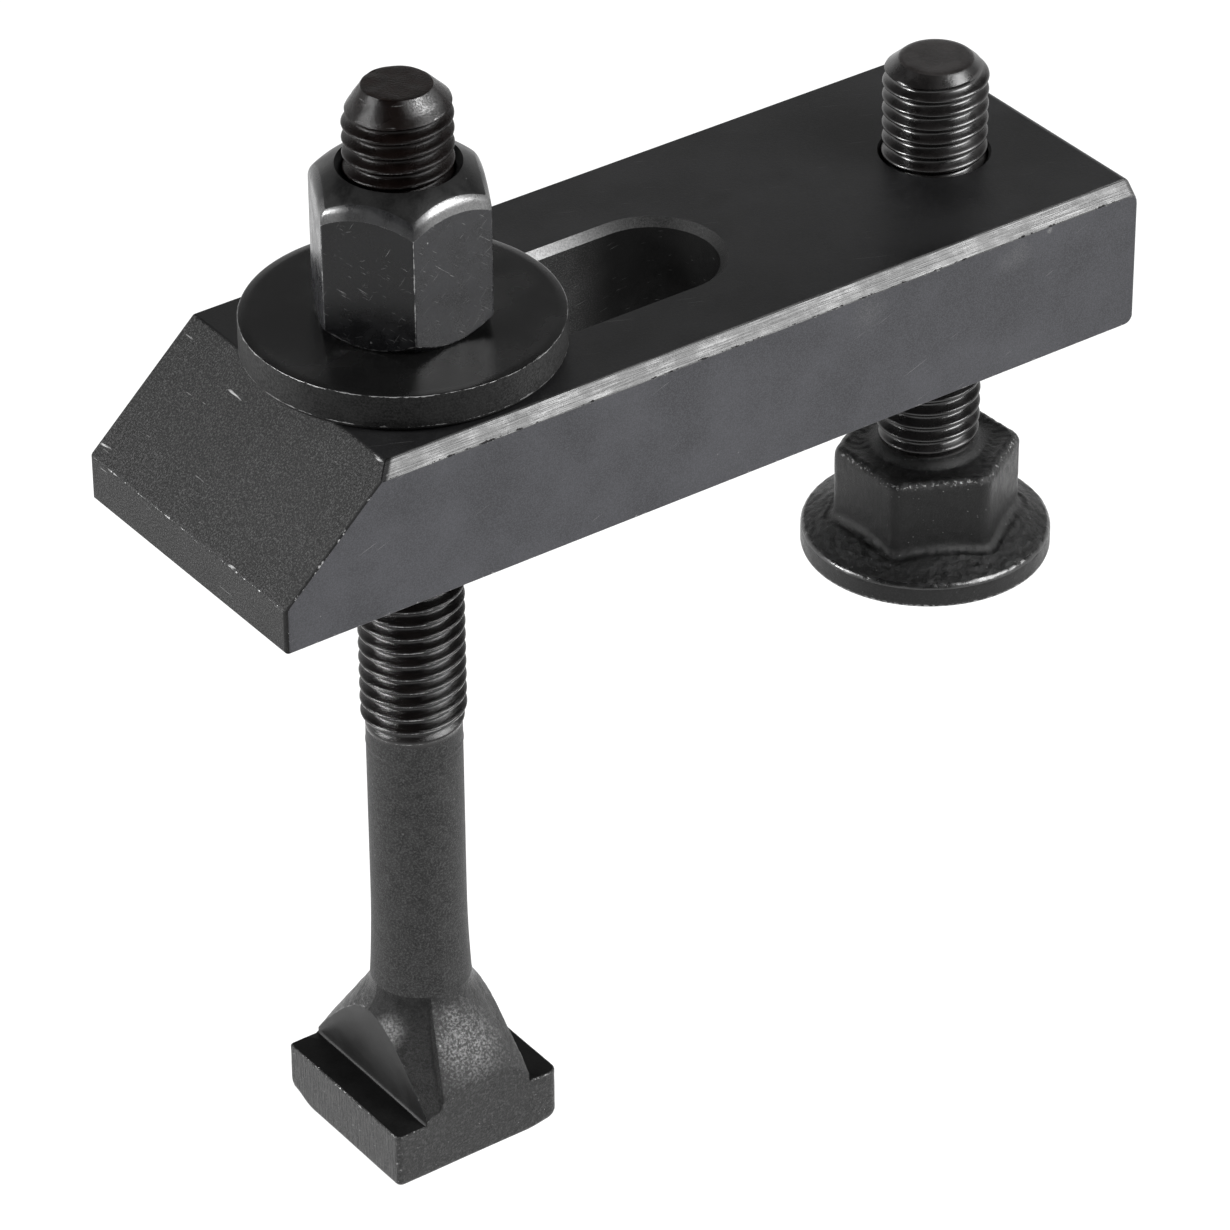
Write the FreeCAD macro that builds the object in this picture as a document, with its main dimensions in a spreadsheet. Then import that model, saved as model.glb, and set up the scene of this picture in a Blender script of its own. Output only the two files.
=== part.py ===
import FreeCAD, Part
import os
from math import acos, cos, pi, radians, sin, sqrt

import Sketcher

# Adjustable strap clamp for a T-slotted machine table.
# A bar with a long slot is held down by a T-slot bolt, a washer and a tall nut,
# and stands at its rear on a support screw with a flanged hexagon foot.
# Frame: origin on the bolt's axis at the underside of its T-shaped head,
# +Z up along the bolt, +X from the bolt towards the support screw.

doc = FreeCAD.newDocument("strap_clamp")
dims = doc.addObject("Spreadsheet::Sheet", "dims")

# Driving dimensions: millimetres, and degrees where the name says angle.
DRIVING = [
    ("strap_length", 113),         # bar, end to end
    ("strap_width", 38),
    ("strap_thick", 18),
    ("strap_corner", 0.6),         # rounding of the bar's upright edges
    ("strap_edge", 0.4),           # edge break on the other long edges
    ("nose_reach", 28),            # bolt axis to the nose face
    ("nose_height", 5.3),          # upright face left under the bevel
    ("bevel_length", 13.7),
    ("ground_edge", 1.4),          # wide chamfer ground along one top edge
    ("slot_width", 15),
    ("slot_front", 1),             # slot's front arc centre, ahead of the bolt axis
    ("slot_rear", 32.4),           # slot's rear arc centre, behind the bolt axis
    ("slot_rim", 0.9),             # chamfer around the slot's top
    ("slot_under_rim", 0.5),       # chamfer around the slot's underside
    ("screw_inset", 13.7),         # support screw's axis to the bar's rear end
    ("clamp_height", 83.2),        # strap's underside above the bolt head's underside
    ("thread_size", 12),           # both threads, major diameter
    ("thread_play", 0.05),         # running clearance of a thread, per side
    ("thread_mouth", 0.3),         # chamfer at the tapped hole's mouths
    ("shank_size", 10.75),         # rolled bolt's plain shank
    ("shank_swell", 0.45),         # how far the shank swells down to the cone, per side
    ("swell_height", 10),
    ("bolt_length", 133),          # overall, head included
    ("bolt_thread", 79),           # threaded length from the bolt's end
    ("bolt_runout", 1.6),          # from the last full thread down to the shank
    ("bolt_point", 2.2),           # height of the end chamfer
    ("bolt_flat", 7.4),            # diameter of the end face
    ("head_side", 22),             # T-shaped head, square in plan
    ("head_thick", 7),
    ("head_corner", 1.1),          # three rounded corners of the head
    ("head_crisp", 0.8),           # the fourth, trimmed sharper
    ("head_edge", 0.6),            # bevel around the underside
    ("neck_width", 14),            # neck that fits the table's slot
    ("neck_root", 0.4),            # fillet where the neck meets the head
    ("neck_rise", 0.6),            # upright height of the neck's corners
    ("cone_height", 10.5),         # forged cone between the neck and the shank
    ("washer_size", 35),
    ("washer_bore", 13),
    ("washer_thick", 4.5),
    ("washer_edge", 0.4),
    ("nut_flats", 18),
    ("nut_height", 18),
    ("nut_angle", 3.7),            # first corner of the nut, turned from +X
    ("nut_crown", 14),             # radius of the spherical top
    ("nut_mouth", 0.7),            # countersink of the nut's thread
    ("nut_seat", 17.6),            # flat ring under the nut, outer diameter
    ("screw_top", 11.8),           # support screw's end above the strap
    ("screw_point", 1.75),
    ("screw_flat", 8.6),
    ("screw_root", 0.7),           # fillet under the thread, on the foot
    ("foot_drop", 33.5),           # foot's underside below the strap
    ("foot_flats", 19),
    ("foot_corner", 1.5),          # forged rounding of the hexagon's corners
    ("foot_angle", 32.3),          # first corner of the foot's hexagon, turned from +X
    ("foot_top", 13.7),            # hexagon's top above the foot's underside
    ("foot_top_edge", 1.2),        # height of the hexagon's upper bevel
    ("foot_land", 16.8),           # flat on top of the hexagon, outer diameter
    ("flange_size", 28.8),
    ("flange_rim", 2.75),
    ("flange_edge", 0.4),
    ("flange_rise", 1.9),          # height of the flange's sloping top
    ("flange_crown", 21.2),        # diameter at the top of that slope
]

# Worked-out dimensions: formulas on the cells above.
DERIVED = [
    ("nose_tip", "=-nose_reach"),
    ("strap_rear", "=strap_length - nose_reach"),
    ("screw_reach", "=strap_length - nose_reach - screw_inset"),
    ("half_width", "=strap_width / 2"),
    ("bevel_top", "=bevel_length - nose_reach"),
    ("ground_foot", "=strap_thick - ground_edge"),
    ("ground_head", "=ground_edge - strap_width / 2"),
    ("slot_start", "=-slot_front"),
    ("slot_radius", "=slot_width / 2"),
    ("thread_radius", "=thread_size / 2"),
    ("tapped_radius", "=thread_size / 2 + thread_play"),
    ("shank_radius", "=shank_size / 2"),
    ("shank_foot", "=shank_size / 2 + shank_swell"),
    ("thread_start", "=bolt_length - bolt_thread"),
    ("runout_start", "=bolt_length - bolt_thread - bolt_runout"),
    ("point_start", "=bolt_length - bolt_point"),
    ("flat_radius", "=bolt_flat / 2"),
    ("cone_foot", "=head_thick + neck_rise"),
    ("cone_top", "=head_thick + neck_rise + cone_height"),
    ("swell_top", "=cone_top + swell_height"),
    ("neck_corner", "=sqrt(neck_width^2 + head_side^2) / 2"),
    ("half_neck", "=neck_width / 2"),
    ("half_head", "=head_side / 2"),
    ("washer_radius", "=washer_size / 2"),
    ("washer_hole", "=washer_bore / 2"),
    ("washer_shoulder", "=washer_size / 2 - washer_edge"),
    ("washer_rim", "=washer_thick - washer_edge"),
    ("nut_radius", "=nut_flats / sqrt(3)"),
    ("nut_crest", "=thread_size / 2 + thread_play + nut_mouth"),
    ("nut_ring", "=nut_seat / 2"),
    ("nut_sweep", "=(nut_radius + nut_crown) / 2"),
    ("nut_skirt", "=nut_sweep - nut_ring"),
    ("nut_lip", "=nut_height - nut_mouth"),
    ("washer_floor", "=clamp_height + strap_thick"),
    ("nut_floor", "=clamp_height + strap_thick + washer_thick"),
    ("foot_floor", "=clamp_height - foot_drop"),
    ("screw_length", "=foot_drop + strap_thick + screw_top"),
    ("screw_shoulder", "=foot_drop + strap_thick + screw_top - screw_point"),
    ("screw_tip", "=screw_flat / 2"),
    ("foot_radius", "=foot_flats / sqrt(3)"),
    ("foot_shoulder", "=foot_top - foot_top_edge"),
    ("foot_crest", "=foot_land / 2"),
    ("root_radius", "=thread_size / 2 + screw_root"),
    ("root_top", "=foot_top + screw_root"),
    ("flange_radius", "=flange_size / 2"),
    ("flange_heel", "=flange_size / 2 - flange_edge"),
    ("flange_neck", "=flange_crown / 2"),
    ("flange_top", "=flange_rim + flange_rise"),
]

for row, (alias, entry) in enumerate(DRIVING + DERIVED, start=1):
    dims.set("A%d" % row, alias)
    dims.set("B%d" % row, str(entry))
    dims.setAlias("B%d" % row, alias)
doc.recompute()

CLEAR = 2.0     # how far a cutting outline stands outside the metal


def size(alias):
    return float(dims.get(alias))


def bind(thing, prop, expression):
    thing.setExpression(prop, expression)


# Sketches: outlines whose corners are tied to the sheet.

def newBody(label):
    body = doc.addObject("PartDesign::Body", label)
    body.Label = label
    return body


def newSketch(body, name, planeRole):
    sketch = body.newObject("Sketcher::SketchObject", name)
    plane = [face for face in body.Origin.OriginFeatures if face.Role == planeRole][0]
    sketch.AttachmentSupport = [(plane, "")]
    sketch.MapMode = "FlatFace"
    return sketch


# A coordinate is a number, an alias, or (alias, offset); a leading minus mirrors it.
def amount(term):
    if isinstance(term, (int, float)):
        return float(term)
    alias, offset = term if isinstance(term, tuple) else (term, 0.0)
    value = -size(alias[1:]) if alias.startswith("-") else size(alias)
    return value + offset


def formula(term):
    if isinstance(term, (int, float)):
        return None
    alias, offset = term if isinstance(term, tuple) else (term, 0.0)
    text = "-dims." + alias[1:] if alias.startswith("-") else "dims." + alias
    return "%s + %s" % (text, offset) if offset else text


# Ties one end of a line or arc to its coordinates, which may lie on an axis.
def pinPoint(sketch, line, end, across, upward):
    for kind, term, axis in (("DistanceX", across, -2), ("DistanceY", upward, -1)):
        if term is None:
            continue
        value = amount(term)
        if value == 0.0:
            sketch.addConstraint(Sketcher.Constraint("PointOnObject", line, end, axis))
            continue
        spot = sketch.addConstraint(Sketcher.Constraint(kind, -1, 1, line, end, value))
        if formula(term):
            bind(sketch, "Constraints[%d]" % spot, formula(term))


def polygon(sketch, corners):
    spots = [FreeCAD.Vector(amount(x), amount(y), 0) for x, y in corners]
    count = len(spots)
    for i in range(count):
        sketch.addGeometry(Part.LineSegment(spots[i], spots[(i + 1) % count]), False)
    for i in range(count):
        sketch.addConstraint(Sketcher.Constraint("Coincident", i, 2, (i + 1) % count, 1))
    for i, (x, y) in enumerate(corners):
        pinPoint(sketch, i, 1, x, y)


def hexagon(sketch, radiusAlias, angleAlias):
    radius = size(radiusAlias)
    first = radians(size(angleAlias))
    spots = [FreeCAD.Vector(radius * cos(first + i * pi / 3), radius * sin(first + i * pi / 3), 0)
             for i in range(6)]
    for i in range(6):
        sketch.addGeometry(Part.LineSegment(spots[i], spots[(i + 1) % 6]), False)
    ring = sketch.addGeometry(Part.Circle(FreeCAD.Vector(0, 0, 0), FreeCAD.Vector(0, 0, 1), radius), True)
    sketch.addConstraint(Sketcher.Constraint("Coincident", ring, 3, -1, 1))
    spot = sketch.addConstraint(Sketcher.Constraint("Radius", ring, radius))
    bind(sketch, "Constraints[%d]" % spot, "dims." + radiusAlias)
    for i in range(6):
        sketch.addConstraint(Sketcher.Constraint("Coincident", i, 2, (i + 1) % 6, 1))
    for i in range(1, 6):
        sketch.addConstraint(Sketcher.Constraint("PointOnObject", i, 1, ring))
        sketch.addConstraint(Sketcher.Constraint("Equal", 0, i))
    for kind, trig, value in (("DistanceX", "cos", spots[0].x), ("DistanceY", "sin", spots[0].y)):
        spot = sketch.addConstraint(Sketcher.Constraint(kind, -1, 1, 0, 1, value))
        bind(sketch, "Constraints[%d]" % spot, "dims.%s * %s(dims.%s * 1 deg)" % (
            radiusAlias, trig, angleAlias))


def stadium(sketch, leftAlias, rightAlias, radiusAlias):
    left, right, radius = size(leftAlias), size(rightAlias), size(radiusAlias)
    up = FreeCAD.Vector(0, 0, 1)
    V = FreeCAD.Vector
    arcs = ((left, pi / 2, 3 * pi / 2), (right, -pi / 2, pi / 2))
    for centre, start, stop in arcs:
        sketch.addGeometry(Part.ArcOfCircle(Part.Circle(V(centre, 0, 0), up, radius), start, stop), False)
    sketch.addGeometry(Part.LineSegment(V(left, -radius, 0), V(right, -radius, 0)), False)
    sketch.addGeometry(Part.LineSegment(V(right, radius, 0), V(left, radius, 0)), False)
    for arc, end, line, lineEnd in ((0, 2, 2, 1), (2, 2, 1, 1), (1, 2, 3, 1), (3, 2, 0, 1)):
        sketch.addConstraint(Sketcher.Constraint("Tangent", arc, end, line, lineEnd))
    sketch.addConstraint(Sketcher.Constraint("PointOnObject", 1, 3, -1))
    for arc, alias in ((0, leftAlias), (1, rightAlias)):
        spot = sketch.addConstraint(Sketcher.Constraint("DistanceX", -1, 1, arc, 3, size(alias)))
        bind(sketch, "Constraints[%d]" % spot, "dims." + alias)
    sketch.addConstraint(Sketcher.Constraint("PointOnObject", 0, 3, -1))
    spot = sketch.addConstraint(Sketcher.Constraint("Radius", 1, radius))
    bind(sketch, "Constraints[%d]" % spot, "dims." + radiusAlias)


def circle(sketch, centre, radiusAlias):
    spot = FreeCAD.Vector(amount(centre), 0, 0)
    sketch.addGeometry(Part.Circle(spot, FreeCAD.Vector(0, 0, 1), size(radiusAlias)), False)
    pinPoint(sketch, 0, 3, centre, 0.0)
    spot = sketch.addConstraint(Sketcher.Constraint("Radius", 0, size(radiusAlias)))
    bind(sketch, "Constraints[%d]" % spot, "dims." + radiusAlias)


# Features: each returns the new feature after a recompute.

def pad(body, name, sketch, lengthAlias):
    feature = body.newObject("PartDesign::Pad", name)
    feature.Profile = sketch
    bind(feature, "Length", "dims." + lengthAlias)
    doc.recompute()
    return feature


# A through cut has to take metal away, which a wrong direction would not.
def checkCut(feature, before):
    if feature.Shape.Volume > before - 1e-3:
        raise ValueError(feature.Name + " removes nothing")
    return feature


def cutThrough(body, name, sketch):
    before = body.Shape.Volume
    feature = body.newObject("PartDesign::Pocket", name)
    feature.Profile = sketch
    feature.Type = "ThroughAll"
    feature.Midplane = True
    doc.recompute()
    return checkCut(feature, before)


def turn(body, name, sketch, kind):
    before = body.Shape.Volume if kind == "Groove" else None
    feature = body.newObject("PartDesign::" + kind, name)
    feature.Profile = sketch
    feature.ReferenceAxis = (sketch, ["V_Axis"])
    feature.Angle = 360
    doc.recompute()
    return checkCut(feature, before) if before else feature


def turned(body, name, kind, corners):
    sketch = newSketch(body, name + "_outline", "XZ_Plane")
    polygon(sketch, corners)
    return turn(body, name, sketch, kind)


def edgeNames(shape, wanted):
    return ["Edge%d" % (i + 1) for i, edge in enumerate(shape.Edges) if wanted(edge)]


def dress(body, name, kind, base, wanted, sizeAlias):
    names = edgeNames(base.Shape, wanted)
    if not names:
        raise ValueError(name + " finds no edge")
    feature = body.newObject("PartDesign::" + kind, name)
    feature.Base = (base, names)
    bind(feature, "Radius" if kind == "Fillet" else "Size", "dims." + sizeAlias)
    doc.recompute()
    return feature


def near(value, target):
    return abs(value - target) < 1e-4


def upright(edge):
    box = edge.BoundBox
    return box.XLength < 1e-4 and box.YLength < 1e-4


def atHeight(edge, height):
    box = edge.BoundBox
    return near(box.ZMin, height) and near(box.ZMax, height)


# T-slot bolt: square forged head, flat-sided neck, forged cone, shank and thread.
def makeBolt():
    body = newBody("t_bolt")
    sketch = newSketch(body, "neck_outline", "XY_Plane")
    polygon(sketch, rectangle("half_neck", "half_head"))
    pad(body, "neck", sketch, "cone_top")
    turned(body, "neck_cone", "Groove", [
        ("shank_foot", "cone_top"), ("neck_corner", "cone_foot"), (("neck_corner", CLEAR), "cone_foot"),
        (("neck_corner", CLEAR), ("cone_top", CLEAR)), ("shank_foot", ("cone_top", CLEAR))])
    sketch = newSketch(body, "head_outline", "XY_Plane")
    polygon(sketch, rectangle("half_head", "half_head"))
    head = pad(body, "head", sketch, "head_thick")
    half = size("head_side") / 2

    def corner(edge, crisp):
        box = edge.BoundBox
        outer = upright(edge) and near(abs(box.XMin), half) and near(abs(box.YMin), half)
        return outer and (box.XMin < 0 and box.YMin < 0) == crisp

    head = dress(body, "head_corners", "Fillet", head, lambda edge: corner(edge, False), "head_corner")
    head = dress(body, "head_crisp_corner", "Fillet", head, lambda edge: corner(edge, True), "head_crisp")
    head = dress(body, "head_bevel", "Chamfer", head, lambda edge: atHeight(edge, 0.0), "head_edge")

    def neckRoot(edge):
        box = edge.BoundBox
        return atHeight(edge, size("head_thick")) and near(box.XLength, 0) and near(
            abs(box.XMin), size("neck_width") / 2)

    dress(body, "neck_fillets", "Fillet", head, neckRoot, "neck_root")
    turned(body, "shank_and_thread", "Revolution", [
        (0, "cone_foot"), ("shank_foot", "cone_foot"), ("shank_foot", "cone_top"),
        ("shank_radius", "swell_top"), ("shank_radius", "runout_start"), ("thread_radius", "thread_start"),
        ("thread_radius", "point_start"), ("flat_radius", "bolt_length"), (0, "bolt_length")])
    return body


# The four corners of a rectangle about the axis, from its two half sides.
def rectangle(across, along):
    return [("-" + across, "-" + along), (across, "-" + along), (across, along), ("-" + across, along)]


# Strap: a flat bar with a bevelled nose, a long slot and a tapped hole at the rear.
def makeStrap():
    body = newBody("strap")
    sketch = newSketch(body, "plan", "XY_Plane")
    polygon(sketch, [("nose_tip", "-half_width"), ("strap_rear", "-half_width"),
                     ("strap_rear", "half_width"), ("nose_tip", "half_width")])
    bar = pad(body, "bar", sketch, "strap_thick")
    dress(body, "bar_corners", "Fillet", bar, upright, "strap_corner")
    sketch = newSketch(body, "bevel_outline", "XZ_Plane")
    polygon(sketch, [("nose_tip", "nose_height"), ("bevel_top", "strap_thick"),
                     ("bevel_top", ("strap_thick", CLEAR)), (("nose_tip", -CLEAR), ("strap_thick", CLEAR)),
                     (("nose_tip", -CLEAR), "nose_height")])
    bar = cutThrough(body, "nose_bevel", sketch)
    top = size("strap_thick")
    wall = size("half_width")

    def plainEdge(edge):
        box = edge.BoundBox
        farTop = atHeight(edge, top) and near(box.YMin, wall) and near(box.YMax, wall)
        return atHeight(edge, 0.0) or farTop

    dress(body, "edge_breaks", "Chamfer", bar, plainEdge, "strap_edge")
    sketch = newSketch(body, "ground_outline", "YZ_Plane")
    polygon(sketch, [("-half_width", "ground_foot"), ("ground_head", "strap_thick"),
                     ("ground_head", ("strap_thick", CLEAR)), (("-half_width", -CLEAR), ("strap_thick", CLEAR)),
                     (("-half_width", -CLEAR), "ground_foot")])
    cutThrough(body, "ground_chamfer", sketch)
    sketch = newSketch(body, "slot_outline", "XY_Plane")
    stadium(sketch, "slot_start", "slot_rear", "slot_radius")
    bar = cutThrough(body, "slot", sketch)

    def slotEdge(edge, height):
        box = edge.BoundBox
        return atHeight(edge, height) and box.YMax < size("slot_radius") + 1e-4 and box.YMin > (
            -size("slot_radius") - 1e-4) and box.XMax < size("slot_rear") + size("slot_radius") + 1e-4

    bar = dress(body, "slot_rim_chamfer", "Chamfer", bar, lambda edge: slotEdge(edge, top), "slot_rim")
    dress(body, "slot_underside_chamfer", "Chamfer", bar, lambda edge: slotEdge(edge, 0.0), "slot_under_rim")
    sketch = newSketch(body, "tapped_outline", "XY_Plane")
    circle(sketch, "screw_reach", "tapped_radius")
    bar = cutThrough(body, "tapped_hole", sketch)

    def holeEdge(edge):
        box = edge.BoundBox
        level = atHeight(edge, top) or atHeight(edge, 0.0)
        return level and near((box.XMin + box.XMax) / 2, size("screw_reach")) and near(
            box.YLength, 2 * size("tapped_radius"))

    dress(body, "tapped_mouths", "Chamfer", bar, holeEdge, "thread_mouth")
    bind(body, "Placement.Base.z", "dims.clamp_height")
    return body


# Washer: thick turned ring with its corners broken.
def makeWasher():
    body = newBody("washer")
    turned(body, "ring", "Revolution", [
        ("washer_hole", 0), ("washer_shoulder", 0), ("washer_radius", "washer_edge"),
        ("washer_radius", "washer_rim"), ("washer_shoulder", "washer_thick"), ("washer_hole", "washer_thick")])
    bind(body, "Placement.Base.z", "dims.washer_floor")
    return body


# Nut: tall hexagon with a spherical top, a bevelled foot and a countersunk thread.
def makeNut():
    body = newBody("hex_nut")
    sketch = newSketch(body, "hexagon_outline", "XY_Plane")
    hexagon(sketch, "nut_radius", "nut_angle")
    pad(body, "hexagon", sketch, "nut_height")
    sketch = newSketch(body, "crown_outline", "XZ_Plane")
    crownOutline(sketch)
    turn(body, "spherical_crown", sketch, "Groove")
    turned(body, "foot_bevel", "Groove", [
        ("nut_ring", 0), ("nut_ring", -CLEAR), ("nut_sweep", -CLEAR), ("nut_sweep", "nut_skirt")])
    turned(body, "threaded_bore", "Groove", [
        (0, -CLEAR), ("nut_crest", -CLEAR), ("nut_crest", 0), ("tapped_radius", "nut_mouth"),
        ("tapped_radius", "nut_lip"), ("nut_crest", "nut_height"), ("nut_crest", ("nut_height", CLEAR)),
        (0, ("nut_height", CLEAR))])
    bind(body, "Placement.Base.z", "dims.nut_floor")
    return body


# The metal outside the crown's sphere: an arc from the bore's mouth out past the corners.
def crownOutline(sketch):
    V = FreeCAD.Vector
    radius, mouth, reach = size("nut_crown"), size("nut_crest"), size("nut_sweep")
    top = size("nut_height")
    middle = top - sqrt(radius ** 2 - mouth ** 2)
    low = middle + sqrt(radius ** 2 - reach ** 2)
    start = acos(reach / radius)
    stop = acos(mouth / radius)
    sphere = Part.Circle(V(0, middle, 0), V(0, 0, 1), radius)
    corners = [V(mouth, top, 0), V(mouth, top + CLEAR, 0), V(reach, top + CLEAR, 0), V(reach, low, 0)]
    sketch.addGeometry(Part.ArcOfCircle(sphere, start, stop), False)
    for i in range(3):
        sketch.addGeometry(Part.LineSegment(corners[i], corners[i + 1]), False)
    sketch.addConstraint(Sketcher.Constraint("Coincident", 0, 2, 1, 1))
    sketch.addConstraint(Sketcher.Constraint("Coincident", 1, 2, 2, 1))
    sketch.addConstraint(Sketcher.Constraint("Coincident", 2, 2, 3, 1))
    sketch.addConstraint(Sketcher.Constraint("Coincident", 3, 2, 0, 1))
    sketch.addConstraint(Sketcher.Constraint("PointOnObject", 0, 3, -2))
    spot = sketch.addConstraint(Sketcher.Constraint("Radius", 0, radius))
    bind(sketch, "Constraints[%d]" % spot, "dims.nut_crown")
    pinPoint(sketch, 1, 1, "nut_crest", "nut_height")
    pinPoint(sketch, 2, 1, "nut_crest", ("nut_height", CLEAR))
    pinPoint(sketch, 3, 1, "nut_sweep", ("nut_height", CLEAR))
    pinPoint(sketch, 3, 2, "nut_sweep", None)


# Support screw: thread, hexagon and flanged foot forged in one piece.
def makeScrew():
    body = newBody("support_screw")
    sketch = newSketch(body, "hexagon_outline", "XY_Plane")
    hexagon(sketch, "foot_radius", "foot_angle")
    foot = pad(body, "hexagon", sketch, "foot_top")
    dress(body, "hexagon_corners", "Fillet", foot, upright, "foot_corner")
    turned(body, "hexagon_top_bevel", "Groove", [
        ("foot_crest", "foot_top"), ("foot_crest", ("foot_top", CLEAR)),
        (("foot_radius", CLEAR), ("foot_top", CLEAR)), (("foot_radius", CLEAR), "foot_shoulder"),
        ("foot_radius", "foot_shoulder")])
    turned(body, "flange_and_thread", "Revolution", [
        (0, 0), ("flange_heel", 0), ("flange_radius", "flange_edge"), ("flange_radius", "flange_rim"),
        ("flange_neck", "flange_top"), ("root_radius", "flange_top"), ("root_radius", "foot_top"),
        ("thread_radius", "root_top"), ("thread_radius", "screw_shoulder"), ("screw_tip", "screw_length"),
        (0, "screw_length")])
    bind(body, "Placement.Base.x", "dims.screw_reach")
    bind(body, "Placement.Base.z", "dims.foot_floor")
    return body


bodies = [makeBolt(), makeWasher(), makeNut(), makeStrap(), makeScrew()]
doc.recompute()

for item in doc.Objects:
    if "Invalid" in item.State or "Error" in item.State:
        raise ValueError("%s failed: %s" % (item.Name, item.State))
for body in bodies:
    if body.Shape.isNull() or not body.Shape.isValid() or len(body.Shape.Solids) != 1:
        raise ValueError(body.Label + " is not one sound solid")

os.makedirs("parts", exist_ok=True)
for body in bodies:
    body.Shape.exportStep("parts/%s.step" % body.Label)
    box = body.Shape.BoundBox
    print("%-14s %8.1f mm3  x %.2f..%.2f  y %.2f..%.2f  z %.2f..%.2f" % (
        body.Label, body.Shape.Volume, box.XMin, box.XMax, box.YMin, box.YMax, box.ZMin, box.ZMax))
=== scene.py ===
import math
from math import cos, pi, radians, sin
from types import SimpleNamespace

import bmesh
import bpy
import numpy as np
from mathutils import Matrix, Vector, noise


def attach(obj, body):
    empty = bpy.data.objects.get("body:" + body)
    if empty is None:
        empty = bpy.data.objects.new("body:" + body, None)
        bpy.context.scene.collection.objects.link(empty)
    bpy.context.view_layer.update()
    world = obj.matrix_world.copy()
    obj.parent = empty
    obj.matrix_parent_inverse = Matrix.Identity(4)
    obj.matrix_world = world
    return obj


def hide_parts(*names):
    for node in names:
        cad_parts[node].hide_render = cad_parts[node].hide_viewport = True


# Adjustable strap clamp in blackened steel. Sizes are in millimetres, as on the drawing,
# and every mesh is scaled to metres when it is made.
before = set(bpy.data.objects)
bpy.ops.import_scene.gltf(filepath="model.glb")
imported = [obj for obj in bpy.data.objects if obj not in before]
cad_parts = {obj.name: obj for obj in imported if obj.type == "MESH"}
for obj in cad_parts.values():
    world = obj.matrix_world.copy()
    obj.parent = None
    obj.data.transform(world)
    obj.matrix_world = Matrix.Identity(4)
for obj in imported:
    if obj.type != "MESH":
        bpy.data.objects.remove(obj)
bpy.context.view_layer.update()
mm = 0.001
print("frame loaded:", len(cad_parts), "pieces")


# small tools

def smoothStep(low, high, x):
    t = np.clip((x - low) / (high - low), 0, 1)
    return t * t * (3 - 2 * t)


# smooth random height at each point, about -1 to 1; size is the width of a lump
def lumps(points, size, seed):
    flat = points.reshape(-1, 3) / size + seed * 17.3
    return np.array([noise.noise(Vector(p)) for p in flat]).reshape(points.shape[:-1])


# faces between the rows and columns of points that close round an axis
def ringFaces(rows, columns):
    index = np.arange(rows * columns).reshape(rows, columns)
    after = np.roll(index, -1, axis=1)
    return np.stack([index[:-1], after[:-1], after[1:], index[1:]], axis=-1).reshape(-1, 4)


# a skin is points, faces, one material number per face, and each point's distance to an edge
def ringSkin(points, finish, edge):
    rows, columns = points.shape[:2]
    faces = ringFaces(rows, columns)
    finish = np.repeat(np.broadcast_to(finish, (rows,))[:-1], columns)
    return points.reshape(-1, 3), faces, finish, np.broadcast_to(edge, (rows, columns)).reshape(-1)


def polar(angles, radius, height, centreX=0.0):
    radius, height = radius + 0 * angles, height + 0 * angles
    return np.stack([centreX + radius * np.cos(angles), radius * np.sin(angles), height], axis=-1)


def newMesh(name, points, faces):
    mesh = bpy.data.meshes.new(name)
    mesh.from_pydata((points * mm).tolist(), [], faces)
    return mesh


def addObject(name, data):
    item = bpy.data.objects.new(name, data)
    bpy.context.scene.collection.objects.link(item)
    return item


# one mesh from all the skins of a piece, with doubled points merged and flat faces kept flat
def makePiece(name, skins, looks, node):
    starts = np.cumsum([0] + [len(skin[0]) for skin in skins[:-1]])
    points, faces, finish, edge = (np.concatenate(parts) for parts in zip(*skins))
    faces = faces + np.repeat(starts, [len(skin[1]) for skin in skins])[:, None]
    mesh = newMesh(name, points, faces.tolist())
    mesh.polygons.foreach_set("material_index", finish.astype(np.int32))
    mesh.attributes.new("edge", "FLOAT", "POINT").data.foreach_set("value", edge)
    work = bmesh.new()
    work.from_mesh(mesh)
    bmesh.ops.remove_doubles(work, verts=work.verts, dist=2e-6)
    bmesh.ops.dissolve_degenerate(work, edges=work.edges, dist=1e-6)
    work.to_mesh(mesh)
    work.free()
    finishPiece(name, mesh, looks, node)


# a piece's material numbers follow the order of its looks
def finishPiece(name, mesh, looks, node):
    piece = addObject(name, mesh)
    for title, look in looks.items():
        mesh.materials.append(makeSteel(title, look))
    mesh.shade_smooth()
    mesh.set_sharp_from_angle(angle=radians(38))
    flats = piece.modifiers.new("flatFaces", "WEIGHTED_NORMAL")
    flats.keep_sharp = True
    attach(piece, node)
    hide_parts(node)
    print("built", name, len(mesh.polygons), "faces")


# node tools

# values are other nodes' outputs, which are linked, or plain ones
def fillInputs(tree, node, values):
    for socket, value in values.items():
        if isinstance(value, bpy.types.NodeSocket):
            tree.links.new(value, node.inputs[socket])
        else:
            node.inputs[socket].default_value = value
    return node


def addNode(tree, kind, values=None, **settings):
    node = tree.nodes.new("ShaderNode" + kind)
    for key, value in settings.items():
        setattr(node, key, value)
    return fillInputs(tree, node, values or {})


def calc(tree, operation, *values, clamp=False):
    return addNode(tree, "Math", dict(enumerate(values)), operation=operation, use_clamp=clamp).outputs[0]


def vectorCalc(tree, operation, *values):
    node = addNode(tree, "VectorMath", dict(enumerate(values)), operation=operation)
    return node.outputs["Value" if operation in ("DOT_PRODUCT", "LENGTH", "DISTANCE") else "Vector"]


# largest or smallest of several values
def pick(tree, operation, values):
    found = values[0]
    for value in values[1:]:
        found = calc(tree, operation, found, value)
    return found


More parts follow.
